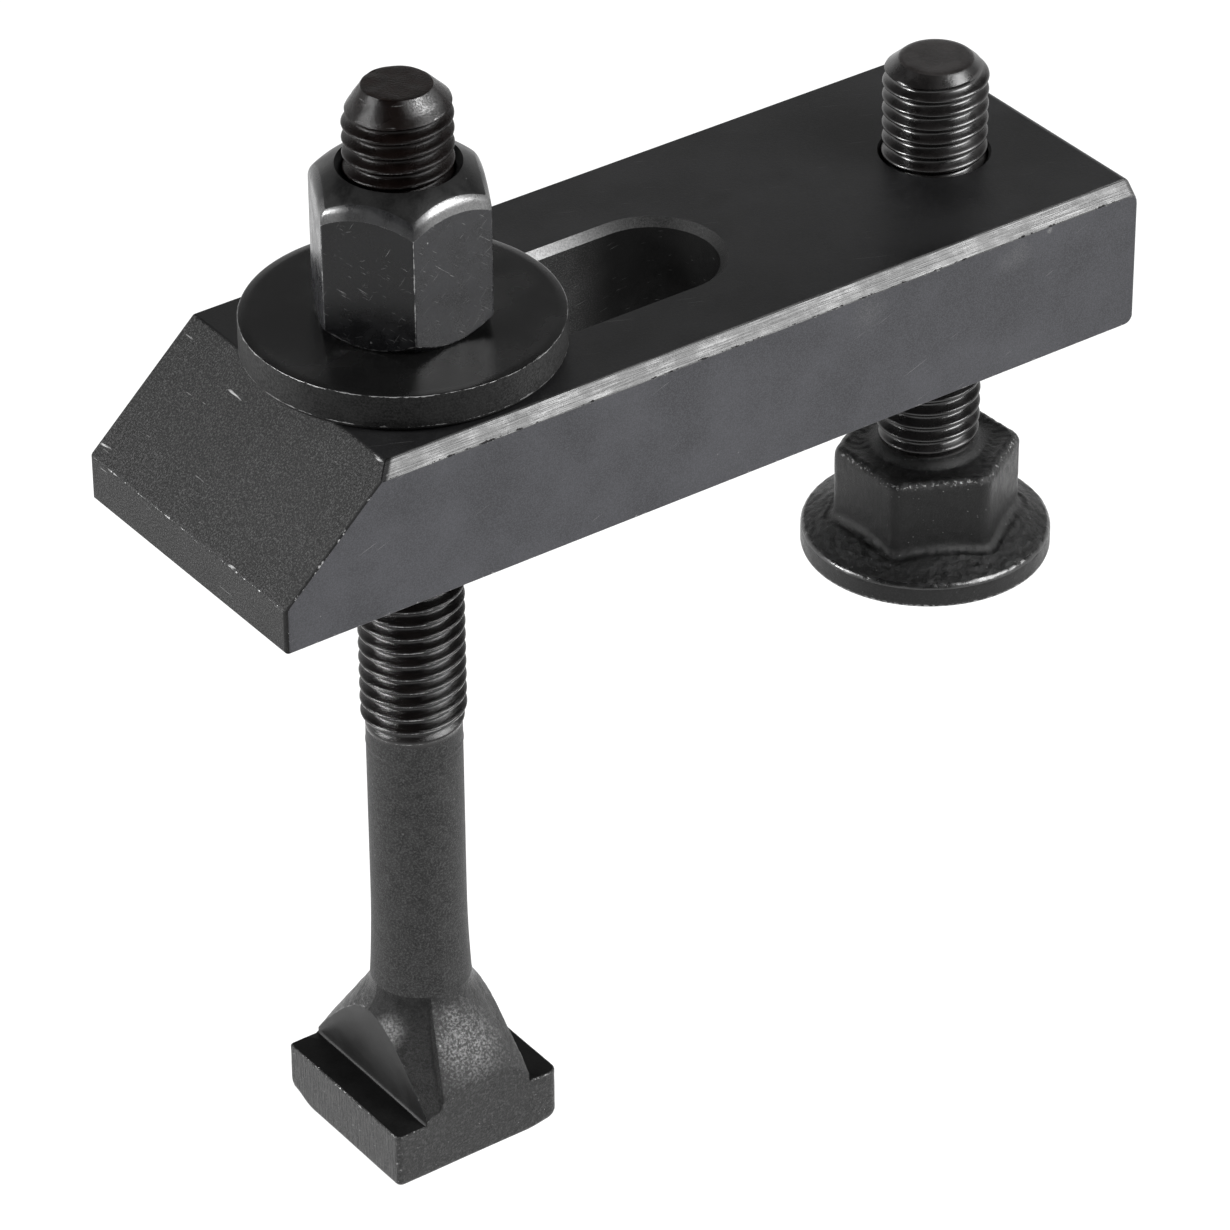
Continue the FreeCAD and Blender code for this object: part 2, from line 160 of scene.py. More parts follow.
def ramp(tree, value, low, high, start=0.0, end=1.0):
    values = {"Value": value, "From Min": low, "From Max": high, "To Min": start, "To Max": end}
    return addNode(tree, "MapRange", values, interpolation_type="SMOOTHSTEP").outputs[0]


def blend(tree, factor, first, second):
    return addNode(tree, "Mix", {0: factor, 6: first, 7: second}, data_type="RGBA").outputs[2]


def noiseAt(tree, vector, scale, detail, roughness):
    values = {"Vector": vector, "Scale": scale, "Detail": detail, "Roughness": roughness}
    return addNode(tree, "TexNoise", values).outputs["Fac"]


# a group's inputs have default values, apart from the place on the piece
def openGroup(name, inputs):
    group = bpy.data.node_groups.new(name, "ShaderNodeTree")
    group.interface.new_socket("Vector", in_out="INPUT", socket_type="NodeSocketVector")
    for label, value in inputs.items():
        kind = "NodeSocketFloat" if isinstance(value, float) else "NodeSocketVector"
        socket = group.interface.new_socket(label, in_out="INPUT", socket_type=kind)
        socket.default_value = value
    return group, group.nodes.new("NodeGroupInput").outputs


def closeGroup(group, outputs):
    for label in outputs:
        group.interface.new_socket(label, in_out="OUTPUT", socket_type="NodeSocketFloat")
    fillInputs(group, group.nodes.new("NodeGroupOutput"), outputs)
    return group


# grain: soft cloudiness and fine tooth of a blackened face
def makeGrain():
    group, given = openGroup("steelGrain", {"Size": 0.3, "Cloud Size": 6.0})
    fine = calc(group, "DIVIDE", 1000.0, given["Size"])
    wide = calc(group, "DIVIDE", 1000.0, given["Cloud Size"])
    cloud = noiseAt(group, given["Vector"], wide, 4.0, 0.55)
    tooth = noiseAt(group, given["Vector"], fine, 5.0, 0.72)
    return closeGroup(group, {"Height": tooth, "Tone": ramp(group, cloud, 0.3, 0.7)})


# worn edge: bright broken line where the distance to an edge is small
def makeWear():
    inputs = {"Distance": 1.0, "Width": 0.15, "Amount": 0.6, "Break Size": 1.2}
    group, given = openGroup("wornEdge", inputs)
    scale = calc(group, "DIVIDE", 1000.0, given["Break Size"])
    rough = noiseAt(group, given["Vector"], scale, 6.0, 0.7)
    chance = calc(group, "SUBTRACT", rough, calc(group, "SUBTRACT", 1.0, given["Amount"]))
    reach = calc(group, "MULTIPLY", calc(group, "MULTIPLY", chance, 5.0, clamp=True), given["Width"])
    close = calc(group, "DIVIDE", given["Distance"], calc(group, "MAXIMUM", reach, 0.001))
    return closeGroup(group, {"Mask": ramp(group, close, 1.0, 0.5)})


# specks: small scattered dots, such as dust, nicks and pits
def makeSpecks():
    group, given = openGroup("scatteredSpecks", {"Spacing": 2.0, "Share": 0.2, "Size": 0.1})
    scale = calc(group, "DIVIDE", 1000.0, given["Spacing"])
    cells = addNode(group, "TexVoronoi", {"Vector": given["Vector"], "Scale": scale})
    draw = addNode(group, "SeparateColor", {0: cells.outputs["Color"]}).outputs[0]
    kept = calc(group, "LESS_THAN", draw, given["Share"])
    reach = calc(group, "DIVIDE", given["Size"], given["Spacing"])
    near = calc(group, "DIVIDE", cells.outputs["Distance"], reach)
    return closeGroup(group, {"Mask": calc(group, "MULTIPLY", kept, ramp(group, near, 1.0, 0.4))})


# lines: long thin noise, as brushing, drawing or turning leaves it, with a size along each axis
def makeLines():
    group, given = openGroup("steelLines", {"Size": (5.0, 0.2, 0.2), "Share": 0.3})
    scale = vectorCalc(group, "DIVIDE", (1000.0,) * 3, given["Size"])
    moved = vectorCalc(group, "MULTIPLY", given["Vector"], scale)
    lines = noiseAt(group, moved, 1.0, 2.0, 0.5)
    limit = calc(group, "SUBTRACT", 0.8, calc(group, "MULTIPLY", given["Share"], 0.3))
    above = calc(group, "DIVIDE", calc(group, "SUBTRACT", lines, limit), 0.05, clamp=True)
    return closeGroup(group, {"Mask": above, "Height": lines})


grainGroup = makeGrain()
wearGroup = makeWear()
speckGroup = makeSpecks()
lineGroup = makeLines()
print("effect groups made")


def place(tree, group, values):
    return addNode(tree, "Group", values, node_tree=group).outputs


def wornMask(tree, vector, distance, worn):
    values = {"Vector": vector, "Distance": distance, **dict(zip(("Width", "Amount", "Break Size"), worn))}
    return place(tree, wearGroup, values)["Mask"]


# distance in mm from a point of the piece to the nearest of several planes (normal, offset)
def planeDistance(tree, vector, planes):
    gaps = []
    for normal, offset in planes:
        across = vectorCalc(tree, "DOT_PRODUCT", vector, tuple(1000.0 * n for n in normal))
        gaps.append(calc(tree, "ABSOLUTE", calc(tree, "SUBTRACT", across, offset)))
    return pick(tree, "MINIMUM", gaps)


def grey(level, tint=(1.0, 1.0, 1.0)):
    return (level * tint[0], level * tint[1], level * tint[2], 1.0)


# a look's tones are linear and its sizes in millimetres
# steel: dark and light tone, size of the grain and of the cloudiness, depth of the grain, roughness, shine
# tooth of the grain: height where it starts, height where it is full, share, times as light as the steel
# worn, and each stain and patch of painted shade after its plane: width, share, break size
# specks: spacing, share, size; scratches: axis, angle, size, share; spots, which are smudges on the strap
# and painted highlights elsewhere: centre, inner, outer, share
plainLook = {
    "tint": (1.0, 1.0, 1.0), "tooth": (0.4, 0.65, 0.3, 2.0), "lines": None, "turned": False,
    "lineRange": (0.35, 0.7), "lineLight": 1.8, "stains": [], "stainTone": 0.01, "specks": [],
    "scratches": [], "worn": None, "planes": None, "polish": None, "spots": [], "spotGrain": 0.7,
    "spotRange": (0.4, 0.62), "bareShare": 1.0, "bareTone": 0.35, "bareMetal": 0.85, "metal": 0.0,
    "roughSpread": 0.05,
}


# blackened steel: dark oxide over metal that shows where it is worn, ground or scratched
def makeSteel(name, given):
    look = SimpleNamespace(**{**plainLook, **given})
    dark, light, grainSize, cloudSize, depth, rough, shine = look.steel
    toothLow, toothHigh, toothShare, toothLight = look.tooth
    tint = look.tint
    material = bpy.data.materials.new(name)
    material.use_nodes = True
    tree = material.node_tree
    at = addNode(tree, "TexCoord").outputs["Object"]
    grain = place(tree, grainGroup, {"Vector": at, "Size": grainSize, "Cloud Size": cloudSize})
    tone = blend(tree, grain["Tone"], grey(dark, tint), grey(light, tint))
    tooth = ramp(tree, grain["Height"], toothLow, toothHigh, 0.0, toothShare)
    tone = blend(tree, tooth, tone, grey(light * toothLight, tint))
    height = calc(tree, "MULTIPLY", grain["Height"], depth)
    if look.lines:
        path = at
        if look.turned:      # rings about the axis instead of straight lines
            radius = vectorCalc(tree, "LENGTH", vectorCalc(tree, "MULTIPLY", at, (1.0, 1.0, 0.0)))
            path = addNode(tree, "CombineXYZ", {0: radius}).outputs[0]
        lines = place(tree, lineGroup, {"Vector": path, "Size": look.lines})["Height"]
        drawn = ramp(tree, lines, *look.lineRange, 0.0, look.lineTone)
        tone = blend(tree, drawn, tone, grey(light * look.lineLight, tint))
        height = calc(tree, "ADD", height, calc(tree, "MULTIPLY", lines, look.lineDepth))
    for plane, worn in look.stains:      # dark patches that eat in from a plane: real stains, and painted shade on the slot wall
        stainAndShade = wornMask(tree, at, planeDistance(tree, at, [plane]), worn)
        tone = blend(tree, stainAndShade, tone, grey(look.stainTone))
    masks = []
    for spacing, share, size in look.specks:
        values = {"Vector": at, "Spacing": spacing, "Share": share, "Size": size}
        masks.append(place(tree, speckGroup, values)["Mask"])
    for axis, angle, size, share in look.scratches:
        turn = {"Vector": at, "Axis": axis, "Angle": radians(angle)}
        turned = addNode(tree, "VectorRotate", turn).outputs[0]
        masks.append(place(tree, lineGroup, {"Vector": turned, "Size": size, "Share": share})["Mask"])
    if look.worn:
        if look.planes:
            distance = planeDistance(tree, at, look.planes)
        else:
            distance = addNode(tree, "Attribute", attribute_name="edge").outputs["Fac"]
        masks.append(wornMask(tree, at, distance, look.worn))
    if look.polish:      # bare metal that dulls towards one end, and painted sheen that fades with it: low x, high x
        along = addNode(tree, "SeparateXYZ", {0: at}).outputs[0]
        near = ramp(tree, along, *(x * mm for x in look.polish), 1.0, 0.0)
        masks.append(calc(tree, "MULTIPLY", near, ramp(tree, grain["Height"], 0.3, 0.6, 0.5, 1.0)))
    for centre, inner, outer, amount in look.spots:      # bright patches: real smudges and a nick on the strap's side, painted highlights on the other pieces
        away = vectorCalc(tree, "DISTANCE", at, tuple(c * mm for c in centre))
        near = ramp(tree, away, inner * mm, outer * mm, amount, 0.0)
        patchy = ramp(tree, grain["Height"], *look.spotRange, 1.0 - look.spotGrain, 1.0)
        masks.append(calc(tree, "MULTIPLY", near, patchy))
    metal = look.metal
    if masks:
        bare = calc(tree, "MULTIPLY", pick(tree, "MAXIMUM", masks), look.bareShare)
        tone = blend(tree, bare, tone, grey(look.bareTone))
        metal = calc(tree, "MULTIPLY", bare, look.bareMetal)
    spread = look.roughSpread
    roughness = ramp(tree, grain["Tone"], 0.0, 1.0, rough - spread, rough + spread)
    bump = addNode(tree, "Bump", {"Strength": 1.0, "Distance": 0.001, "Height": height})
    fillInputs(tree, tree.nodes["Principled BSDF"], {
        "Base Color": tone, "Metallic": metal, "Roughness": roughness, "Specular IOR Level": shine,
        "Normal": bump.outputs[0],
    })
    return material


# strap: flat bar with a bevelled nose, long slot and tapped hole
strapSpec = {
    "length": 113.0, "width": 38.0, "thick": 18.0, "noseX": -28.0, "underside": 83.2,
    "noseHeight": 5.3, "bevelLength": 13.7, "bevelEdge": 0.3, "noseCorner": 0.6, "rearCorner": 0.3,
    "rearEdge": 1.1, "edgeRound": 0.25, "groundEdge": 1.4, "groundRound": 0.12,
    "slotWidth": 15.0, "slotFront": -1.0, "slotRear": 32.4, "slotRim": 0.9, "slotUnderRim": 0.5,
    "holeX": 71.3, "holeRadius": 6.05, "holeMouth": 0.3,
}
# planes of the bar that wear, stains and painted shade start from: normal, offset
topPlane = ((0, 0, 1), 101.2)
backPlane = ((0, 0, 1), 101.1)
groundPlane = ((0, 0, 1), 99.8)
nosePlane = ((0, 0, 1), 88.5)
underPlane = ((0, 0, 1), 83.3)
sidePlane = ((0, 1, 0), -19.0)
slopePlane = ((-0.6799, 0, 0.7334), 83.94)
shadePlane = ((1, 0, 0), 42.0)
strapLooks = {
    # top of the bar: a darker copy of the side's steel, which is painted shade; the specks and scratches are
    # real marks
    "strapTopShaded": {
        "steel": (0.004, 0.007, 0.3, 9.0, 0.015, 0.42, 0.4), "specks": [(5.0, 0.06, 0.12)],
        "bareTone": 0.15, "scratches": [((0, 0, 1), 25, (7.0, 0.12, 1.0), 0.22)], "tint": (1.0, 1.0, 1.05),
    },
    "strapSide": {
        "steel": (0.031, 0.047, 0.16, 7.0, 0.02, 0.5, 0.22), "tooth": (0.4, 0.65, 0.4, 2.0),
        "specks": [(3.0, 0.14, 0.16)], "bareTone": 0.22, "tint": (0.97, 0.98, 1.08),
        "scratches": [((0, 1, 0), 20, (6.0, 1.0, 0.12), 0.28)], "worn": (0.6, 0.45, 0.8),
        "planes": [groundPlane, underPlane],
        "spots": [((68.2, -19.0, 97.7), 0.1, 2.6, 0.16), ((66.7, -19.0, 97.3), 0.1, 2.0, 0.14),
                  ((47.6, -19.0, 97.6), 0.1, 3.2, 0.14), ((72.5, -19.0, 99.3), 0.1, 0.5, 0.8)],
    },
    "strapBlasted": {
        "steel": (0.0025, 0.006, 0.2, 5.0, 0.08, 0.5, 0.2), "tooth": (0.47, 0.65, 1.0, 10.0),
        "bareTone": 0.3, "worn": (0.22, 0.46, 0.9), "planes": [nosePlane],
        "scratches": [((0, 1, 0), 50, (1.0, 5.0, 0.12), 0.26)],
    },
    "strapGround": {
        "steel": (0.05, 0.08, 0.2, 3.0, 0.012, 0.48, 0.5), "tooth": (0.4, 0.65, 0.4, 2.0), "metal": 0.9,
        "lines": (8.0, 0.11, 0.11), "lineTone": 0.75, "lineDepth": 0.05, "roughSpread": 0.08,
        "stains": [(groundPlane, (0.3, 0.48, 1.4)), (slopePlane, (0.75, 0.75, 1.2))],
    },
    "slotWall": {
        "steel": (0.009, 0.02, 0.15, 2.0, 0.04, 0.6, 0.16), "tooth": (0.45, 0.66, 0.8, 4.5),
        "bareTone": 0.12, "scratches": [((0, 1, 0), 12, (3.0, 1.0, 0.12), 0.26)],
        # painted shade: the wall goes nearly black towards the slot's rear end, where it faces away from the
        # light
        "stains": [(shadePlane, (18.0, 1.0, 9.0))], "stainTone": 0.0015,
    },
    "tappedBore": {"steel": (0.003, 0.005, 0.3, 4.0, 0.02, 0.5, 0.1)},
    "slotRim": {
        "steel": (0.005, 0.01, 0.2, 3.0, 0.06, 0.46, 0.2), "tooth": (0.4, 0.65, 0.6, 3.0),
        # ground chamfer, bright along the straight part and fading round the rear end: real bare metal, and
        # painted sheen
        "polish": (21.0, 35.0), "bareTone": 0.28, "stains": [(topPlane, (0.3, 0.46, 1.0))],
    },
    "strapNick": {
        "steel": (0.006, 0.012, 0.3, 2.0, 0.08, 0.5, 0.14), "worn": (0.5, 0.46, 1.2),
        "planes": [sidePlane], "bareTone": 0.35,
    },
}
strapLooks["strapBack"] = {**strapLooks["strapSide"], "planes": [backPlane, underPlane]}


# ring(offset) gives the outline; levels are (height, offset) pairs from low to high
def prismCutter(name, ring, levels):
    points = np.array([[(*p, z) for p in ring(offset)] for z, offset in levels])
    rows, columns = points.shape[:2]
    faces = ringFaces(rows, columns).tolist()
    faces += [list(range(columns))[::-1], list(range((rows - 1) * columns, rows * columns))]
    return addObject(name, newMesh(name, points.reshape(-1, 3), faces))


def buildStrap():
    s = SimpleNamespace(**strapSpec)
    low, high = s.underside, s.underside + s.thick
    noseX, rearX, side = s.noseX, s.noseX + s.length, s.width / 2
    bar = bmesh.new()
    bmesh.ops.create_cube(bar, size=1.0)
    for vert in bar.verts:
        vert.co = ((noseX + rearX) / 2 + vert.co.x * s.length, vert.co.y * s.width,
                   (low + high) / 2 + vert.co.z * s.thick)
    slope = Vector((-(s.thick - s.noseHeight), 0, s.bevelLength)).normalized()
    ground = Vector((0, -1, 1)).normalized()
    groundFoot = high - s.groundEdge
    for point, normal in (((noseX, 0, low + s.noseHeight), slope), ((0, -side, groundFoot), ground)):
        cut = bmesh.ops.bisect_plane(bar, geom=bar.verts[:] + bar.edges[:] + bar.faces[:],
                                     plane_co=point, plane_no=normal, clear_outer=True)
        bmesh.ops.holes_fill(bar, edges=[e for e in cut["geom_cut"] if isinstance(e, bmesh.types.BMEdge)])
    bmesh.ops.recalc_face_normals(bar, faces=bar.faces)
    rear = [edge for edge in bar.edges if all(vert.co.x > rearX - 0.01 for vert in edge.verts)
            and abs(edge.verts[0].co.y - edge.verts[1].co.y) > 1]
    bmesh.ops.bevel(bar, geom=rear, offset=s.rearEdge, offset_type="OFFSET", segments=5,
                    profile=0.5, affect="EDGES")
    weight = bar.edges.layers.float.new("bevel_weight_edge")
    for edge in bar.edges:
        middle = (edge.verts[0].co + edge.verts[1].co) / 2
        along = (edge.verts[0].co - edge.verts[1].co).normalized()
        normals = [face.normal for face in edge.link_faces]
        if normals[0].dot(normals[1]) > 0.9:
            continue
        onGround = any(n.dot(ground) > 0.99 for n in normals)
        onSlope = any(n.dot(slope) > 0.99 for n in normals)
        if abs(along.z) > 0.99:
            size = s.rearCorner if middle.x > 0 else s.noseCorner
        elif onGround:
            size = s.groundRound
        elif onSlope:
            size = s.bevelEdge
        else:
            size = s.edgeRound
        edge[weight] = size / s.noseCorner
    for vert in bar.verts:
        vert.co *= mm
    mesh = bpy.data.meshes.new("strapBar")
    bar.to_mesh(mesh)
    bar.free()
    piece = addObject("strapBar", mesh)
    rounding = piece.modifiers.new("rounding", "BEVEL")
    rounding.width, rounding.segments, rounding.limit_method = s.noseCorner * mm, 4, "WEIGHT"

    def slotRing(offset):
        radius, turns = s.slotWidth / 2 + offset, np.linspace(-pi / 2, pi / 2, 49)
        rear = [(s.slotRear + radius * cos(t), radius * sin(t)) for t in turns]
        return rear + [(s.slotFront - radius * cos(t), -radius * sin(t)) for t in turns]

    def holeRing(offset):
        radius, turns = s.holeRadius + offset, np.linspace(0, 2 * pi, 96, endpoint=False)
        return [(s.holeX + radius * cos(t), radius * sin(t)) for t in turns]

    def flared(ring, under, rim, name):
        return prismCutter(name, ring, [(low - 1, under + 1), (low, under), (low + under, 0.0),
                                        (high - rim, 0.0), (high, rim), (high + 1, rim + 1)])

    cutters = [flared(slotRing, s.slotUnderRim, s.slotRim, "slotCutter"),
               flared(holeRing, s.holeMouth, s.holeMouth, "holeCutter")]
    for cutter in cutters:
        cut = piece.modifiers.new(cutter.name, "BOOLEAN")
        cut.object, cut.operation, cut.solver = cutter, "DIFFERENCE", "EXACT"
    bpy.context.view_layer.update()
    shape = bpy.data.meshes.new_from_object(piece.evaluated_get(bpy.context.evaluated_depsgraph_get()))
    bpy.data.objects.remove(piece)
    for cutter in cutters:
        bpy.data.objects.remove(cutter)
    shape.name = "strap"
    numbers = {look: number for number, look in enumerate(strapLooks)}

    def onSlopeEdge(normal):
        return -0.97 < normal.y < -0.12 and 0.05 < normal.dot(slope) < 0.99 and normal.x < -0.05

    # each face takes the look of the first test that it passes
    for face in shape.polygons:
        x, y, z = (value / mm for value in face.center)
        n = face.normal
        inSlot = abs(y) < s.slotWidth / 2 + 1 and s.slotFront - 10 < x < s.slotRear + 9
        inHole = math.hypot(x - s.holeX, y) < s.holeRadius + 0.5
        onBand = z > groundFoot - 0.2 and y < s.groundEdge + 0.2 - s.width / 2
        tests = (
            (onBand and n.dot(ground) > 0.3, "strapGround"), (inHole and abs(n.z) < 0.99, "tappedBore"),
            (inSlot and abs(n.z) < 0.2, "slotWall"), (inSlot and 0.2 <= n.z < 0.99, "slotRim"),
            (onSlopeEdge(n), "strapNick"), (n.y > 0.7, "strapBack"), (n.dot(ground) > 0.9, "strapGround"),
            (n.z > 0.9, "strapTopShaded"), (n.dot(slope) > 0.9 or n.x < -0.7, "strapBlasted"), (True, "strapSide"),
        )
        face.material_index = numbers[next(look for passed, look in tests if passed)]
    finishPiece("strapShape", shape, strapLooks, "strap")


# washer: thick turned ring
washerSpec = {"outer": 17.5, "bore": 6.5, "low": 101.2, "thick": 4.5, "topEdge": 0.22, "lowEdge": 0.8}
washerLooks = {
    "washerTop": {
        "steel": (0.0015, 0.003, 0.3, 12.0, 0.012, 0.27, 0.75), "worn": (0.12, 0.52, 2.2), "bareTone": 0.3,
        "lines": (0.35, 1.0, 1.0), "turned": True, "lineTone": 0.3, "lineDepth": 0.006,
    },
    "washerRim": {
        "steel": (0.003, 0.009, 0.22, 2.0, 0.04, 0.5, 0.08), "tooth": (0.4, 0.65, 0.7, 2.6),
        "worn": (0.13, 0.54, 1.8), "bareTone": 0.28, "lines": (2.5, 2.5, 0.14), "lineTone": 0.4,
        "lineDepth": 0.03, "specks": [(1.6, 0.14, 0.12)],
        # painted highlights: lighter patches on the rim's left and right-front, the sides that face the
        # lamps
        "spots": [((-16.8, 4.5, 103.4), 4.0, 14.0, 0.09), ((9.5, -14.7, 103.4), 3.0, 12.0, 0.08)],
    },
}


def buildWasher():
    s = SimpleNamespace(**washerSpec)
    low, high, outer, bore = s.low, s.low + s.thick, s.outer, s.bore
    top, under = s.topEdge, s.lowEdge
    angles = np.linspace(0, 2 * pi, 288, endpoint=False)
    profile = [(bore + 0.3, low), (outer - under, low), (outer - under * 0.35, low + under * 0.45),
               (outer - 0.02, low + under)]
    profile += [(outer, low + under + (high - top - low - under) * t) for t in (0.3, 0.6, 1.0)]
    profile += [(outer - top * 0.3, high - top * 0.3), (outer - top, high), (outer - 1.2, high)]
    profile += [(outer - 4, high), (bore + 1.5, high), (bore + 0.3, high), (bore, high - 0.3),
                (bore, low + 0.3), (bore + 0.3, low)]
    edge = np.array([9, 0.5, 0.3, 0, 0.6, 0.6, 0.12, 0, 0.12, 1, 3, 3, 9, 9, 9, 9])
    face, side = 0, 1      # material numbers
    radius, height = np.array(profile).T[..., None]
    points = polar(angles[None, :], radius, height)
    skin = ringSkin(points, [face] + [side] * 6 + [face] * 9, edge[:, None])
    makePiece("washerRing", [skin], washerLooks, "washer")


# nut: tall hexagon with a spherical top
nutSpec = {
    "flats": 18.0, "height": 18.0, "low": 105.7, "turned": 3.7, "cornerRound": 0.35, "crown": 14.0,
    "crownRound": 1.0, "seat": 8.8, "mouth": 6.75, "bore": 6.05,
}
nutLooks = {
    "nutFace": {
        "steel": (0.007, 0.015, 0.18, 2.2, 0.01, 0.28, 0.34), "tooth": (0.4, 0.65, 0.4, 2.5),
        "worn": (0.16, 0.52, 1.4), "bareTone": 0.24, "tint": (0.97, 0.98, 1.08),
        "specks": [(1.5, 0.18, 0.13), (4.0, 0.12, 0.28)],
        "scratches": [((0.06, -1, 0), 40, (2.0, 2.0, 0.08), 0.34),
                      ((-0.83, -0.56, 0), -60, (4.0, 4.0, 0.07), 0.24),
                      ((0.06, -1, 0), -35, (3.5, 3.5, 0.06), 0.2)],
    },
    "nutBore": strapLooks["tappedBore"],
    # spherical top: a darker copy of the faces' steel, which is painted shade
    "nutCrownShaded": {
        "steel": (0.003, 0.008, 0.3, 2.5, 0.02, 0.36, 0.25), "specks": [(2.0, 0.1, 0.1)], "bareTone": 0.15,
    },
    "nutBand": {
        "steel": (0.007, 0.014, 0.2, 1.5, 0.014, 0.3, 0.34), "tooth": (0.4, 0.65, 0.4, 2.0),
        "specks": [(1.0, 0.2, 0.1)], "bareTone": 0.2, "tint": (0.98, 0.99, 1.04),
        # painted highlights at the band's right and left ends, where the lamps glint on the rounded edge
        "spots": [((1.5, -8.8, 121.9), 3.0, 6.0, 1.0), ((-9.8, -1.2, 121.4), 0.3, 2.6, 0.6)],
        "spotGrain": 0.35,
    },
}
# a darker copy of the face look for the nut's left face: painted shade
nutLooks["nutDark"] = {**nutLooks["nutFace"], "steel": (0.0015, 0.004, 0.18, 2.2, 0.01, 0.28, 0.26)}


# quadratic curve from a to c that is drawn towards b
def curve(t, a, b, c):
    return (1 - t) ** 2 * a + 2 * t * (1 - t) * b + t * t * c


# radius of a hexagon with rounded corners in each direction
def hexRadius(angles, flats, turned, rounding):
    half = flats / 2
    toFlat = (angles - radians(turned + 30) + pi / 6) % (pi / 3) - pi / 6
    radius = half / np.cos(toFlat)
    reach = (half - rounding) / cos(pi / 6)
    toCorner = pi / 6 - np.abs(toFlat)
    inside = np.maximum(rounding ** 2 - (reach * np.sin(toCorner)) ** 2, 0)
    rounded = np.abs(half * np.tan(toFlat)) > (half - rounding) * math.tan(pi / 6)
    return np.where(rounded, reach * np.cos(toCorner) + np.sqrt(inside), radius), toFlat


# directions for a hexagon's columns, close together at its corners
def hexAngles(turned, middle, corner):
    part = np.concatenate([np.linspace(-26, 26, middle), np.linspace(26.8, 30, corner)])
    part = np.concatenate([part, -part[-2:middle - 1:-1]])
    turns = np.sort(np.concatenate([part + turned + 30 + 60 * k for k in range(6)]))
    return np.radians(turns)


def buildNut():
    s = SimpleNamespace(**nutSpec)
    angles = hexAngles(s.turned, 15, 7)
    outer, toFlat = hexRadius(angles, s.flats, s.turned, s.cornerRound)
    low, high, half = s.low, s.low + s.height, s.flats / 2
    middle = high - math.sqrt(s.crown ** 2 - s.mouth ** 2)
    rim = middle + np.sqrt(s.crown ** 2 - outer ** 2)     # where the crown meets each face
    foot = low + outer - s.seat
    fromCorner = half * math.tan(pi / 6) - np.abs(half * np.tan(toFlat))
    # dark is the number of the painted-shade copy of the face look
    face, bore, crown, band, dark = range(5)      # material numbers
    rows, edge, finish = [], [], []

    def addRow(radius, height, gap, kind=face):
        rows.append(polar(angles, radius, height))
        edge.append(np.minimum(gap, fromCorner) if 0 < gap < 2 else gap + 0 * angles)
        finish.append(kind)

    addRow(s.mouth, low, 9)
    addRow(s.seat, low, 0.3)
    addRow(outer - 0.15, foot - 0.12, 0.1)
    addRow(outer - 0.03, foot, 0.0)
    addRow(outer, foot + 0.14, 0.12)
    for t in (0.08, 0.2, 0.4, 0.6, 0.8, 0.92):
        addRow(outer, foot + (rim - foot) * t, 1.0)
    bulge = s.crownRound
    tilt = np.arcsin(outer / s.crown)     # crown's slope at the rim
    inner = outer - bulge * np.cos(tilt)
    innerHeight = middle + np.sqrt(s.crown ** 2 - inner ** 2)
    for t in np.linspace(0, 1, 7):           # worn, rounded edge from the faces to the crown
        height = curve(t, rim - bulge, rim, innerHeight)
        addRow(curve(t, outer, outer, inner), height, 0.0, band if t < 1 else crown)
    for t in np.linspace(0.1, 1, 12):
        radius = inner + (s.mouth - inner) * t
        addRow(radius, middle + np.sqrt(s.crown ** 2 - radius ** 2), 2.0, crown if t < 1 else bore)
    for radius, height in ((s.bore, high - 0.7), (s.bore, low + 0.7), (s.mouth, low)):
        addRow(radius, height, 9, bore)
    skin = ringSkin(np.stack(rows), finish, np.stack(edge))
    fromShadedSide = (angles + radians(180 - s.turned)) % (2 * pi) - radians(30)
    onShadedSide = np.tile(np.abs(fromShadedSide) < radians(30), len(rows) - 1)
    skin[2][(skin[2] == face) & onShadedSide] = dark      # one side takes a darker copy of the faces' look, which is painted shade
    makePiece("hexNut", [skin], nutLooks, "hex_nut")


# thread: right-hand helix; crestZ is a crest's height in the direction crestAngle
threadFlank = [(0.07, 0.04), (0.13, 0.17), (0.2, 0.41), (0.34, 0.83), (0.42, 0.96)]
threadShape = [(-0.5, 1.0)] + [(-x, y) for x, y in threadFlank[::-1]] + [(0.0, 0.0)] + threadFlank


# radius of the pointed end at a height; the point is longer on one side and its surface uneven
def pointRadius(spec, height, angles):
    side = 0.5 + 0.5 * np.cos(angles - radians(spec.pointSide))
    point = spec.point + spec.pointMore * side ** 2
    cone = spec.tip + (spec.end - height) * (6.0 - spec.tip) / point
    spots = np.stack(np.broadcast_arrays(6 * np.cos(angles), 6 * np.sin(angles), height), axis=-1)
    return cone + spec.pointRough * lumps(spots, 1.3, 31)


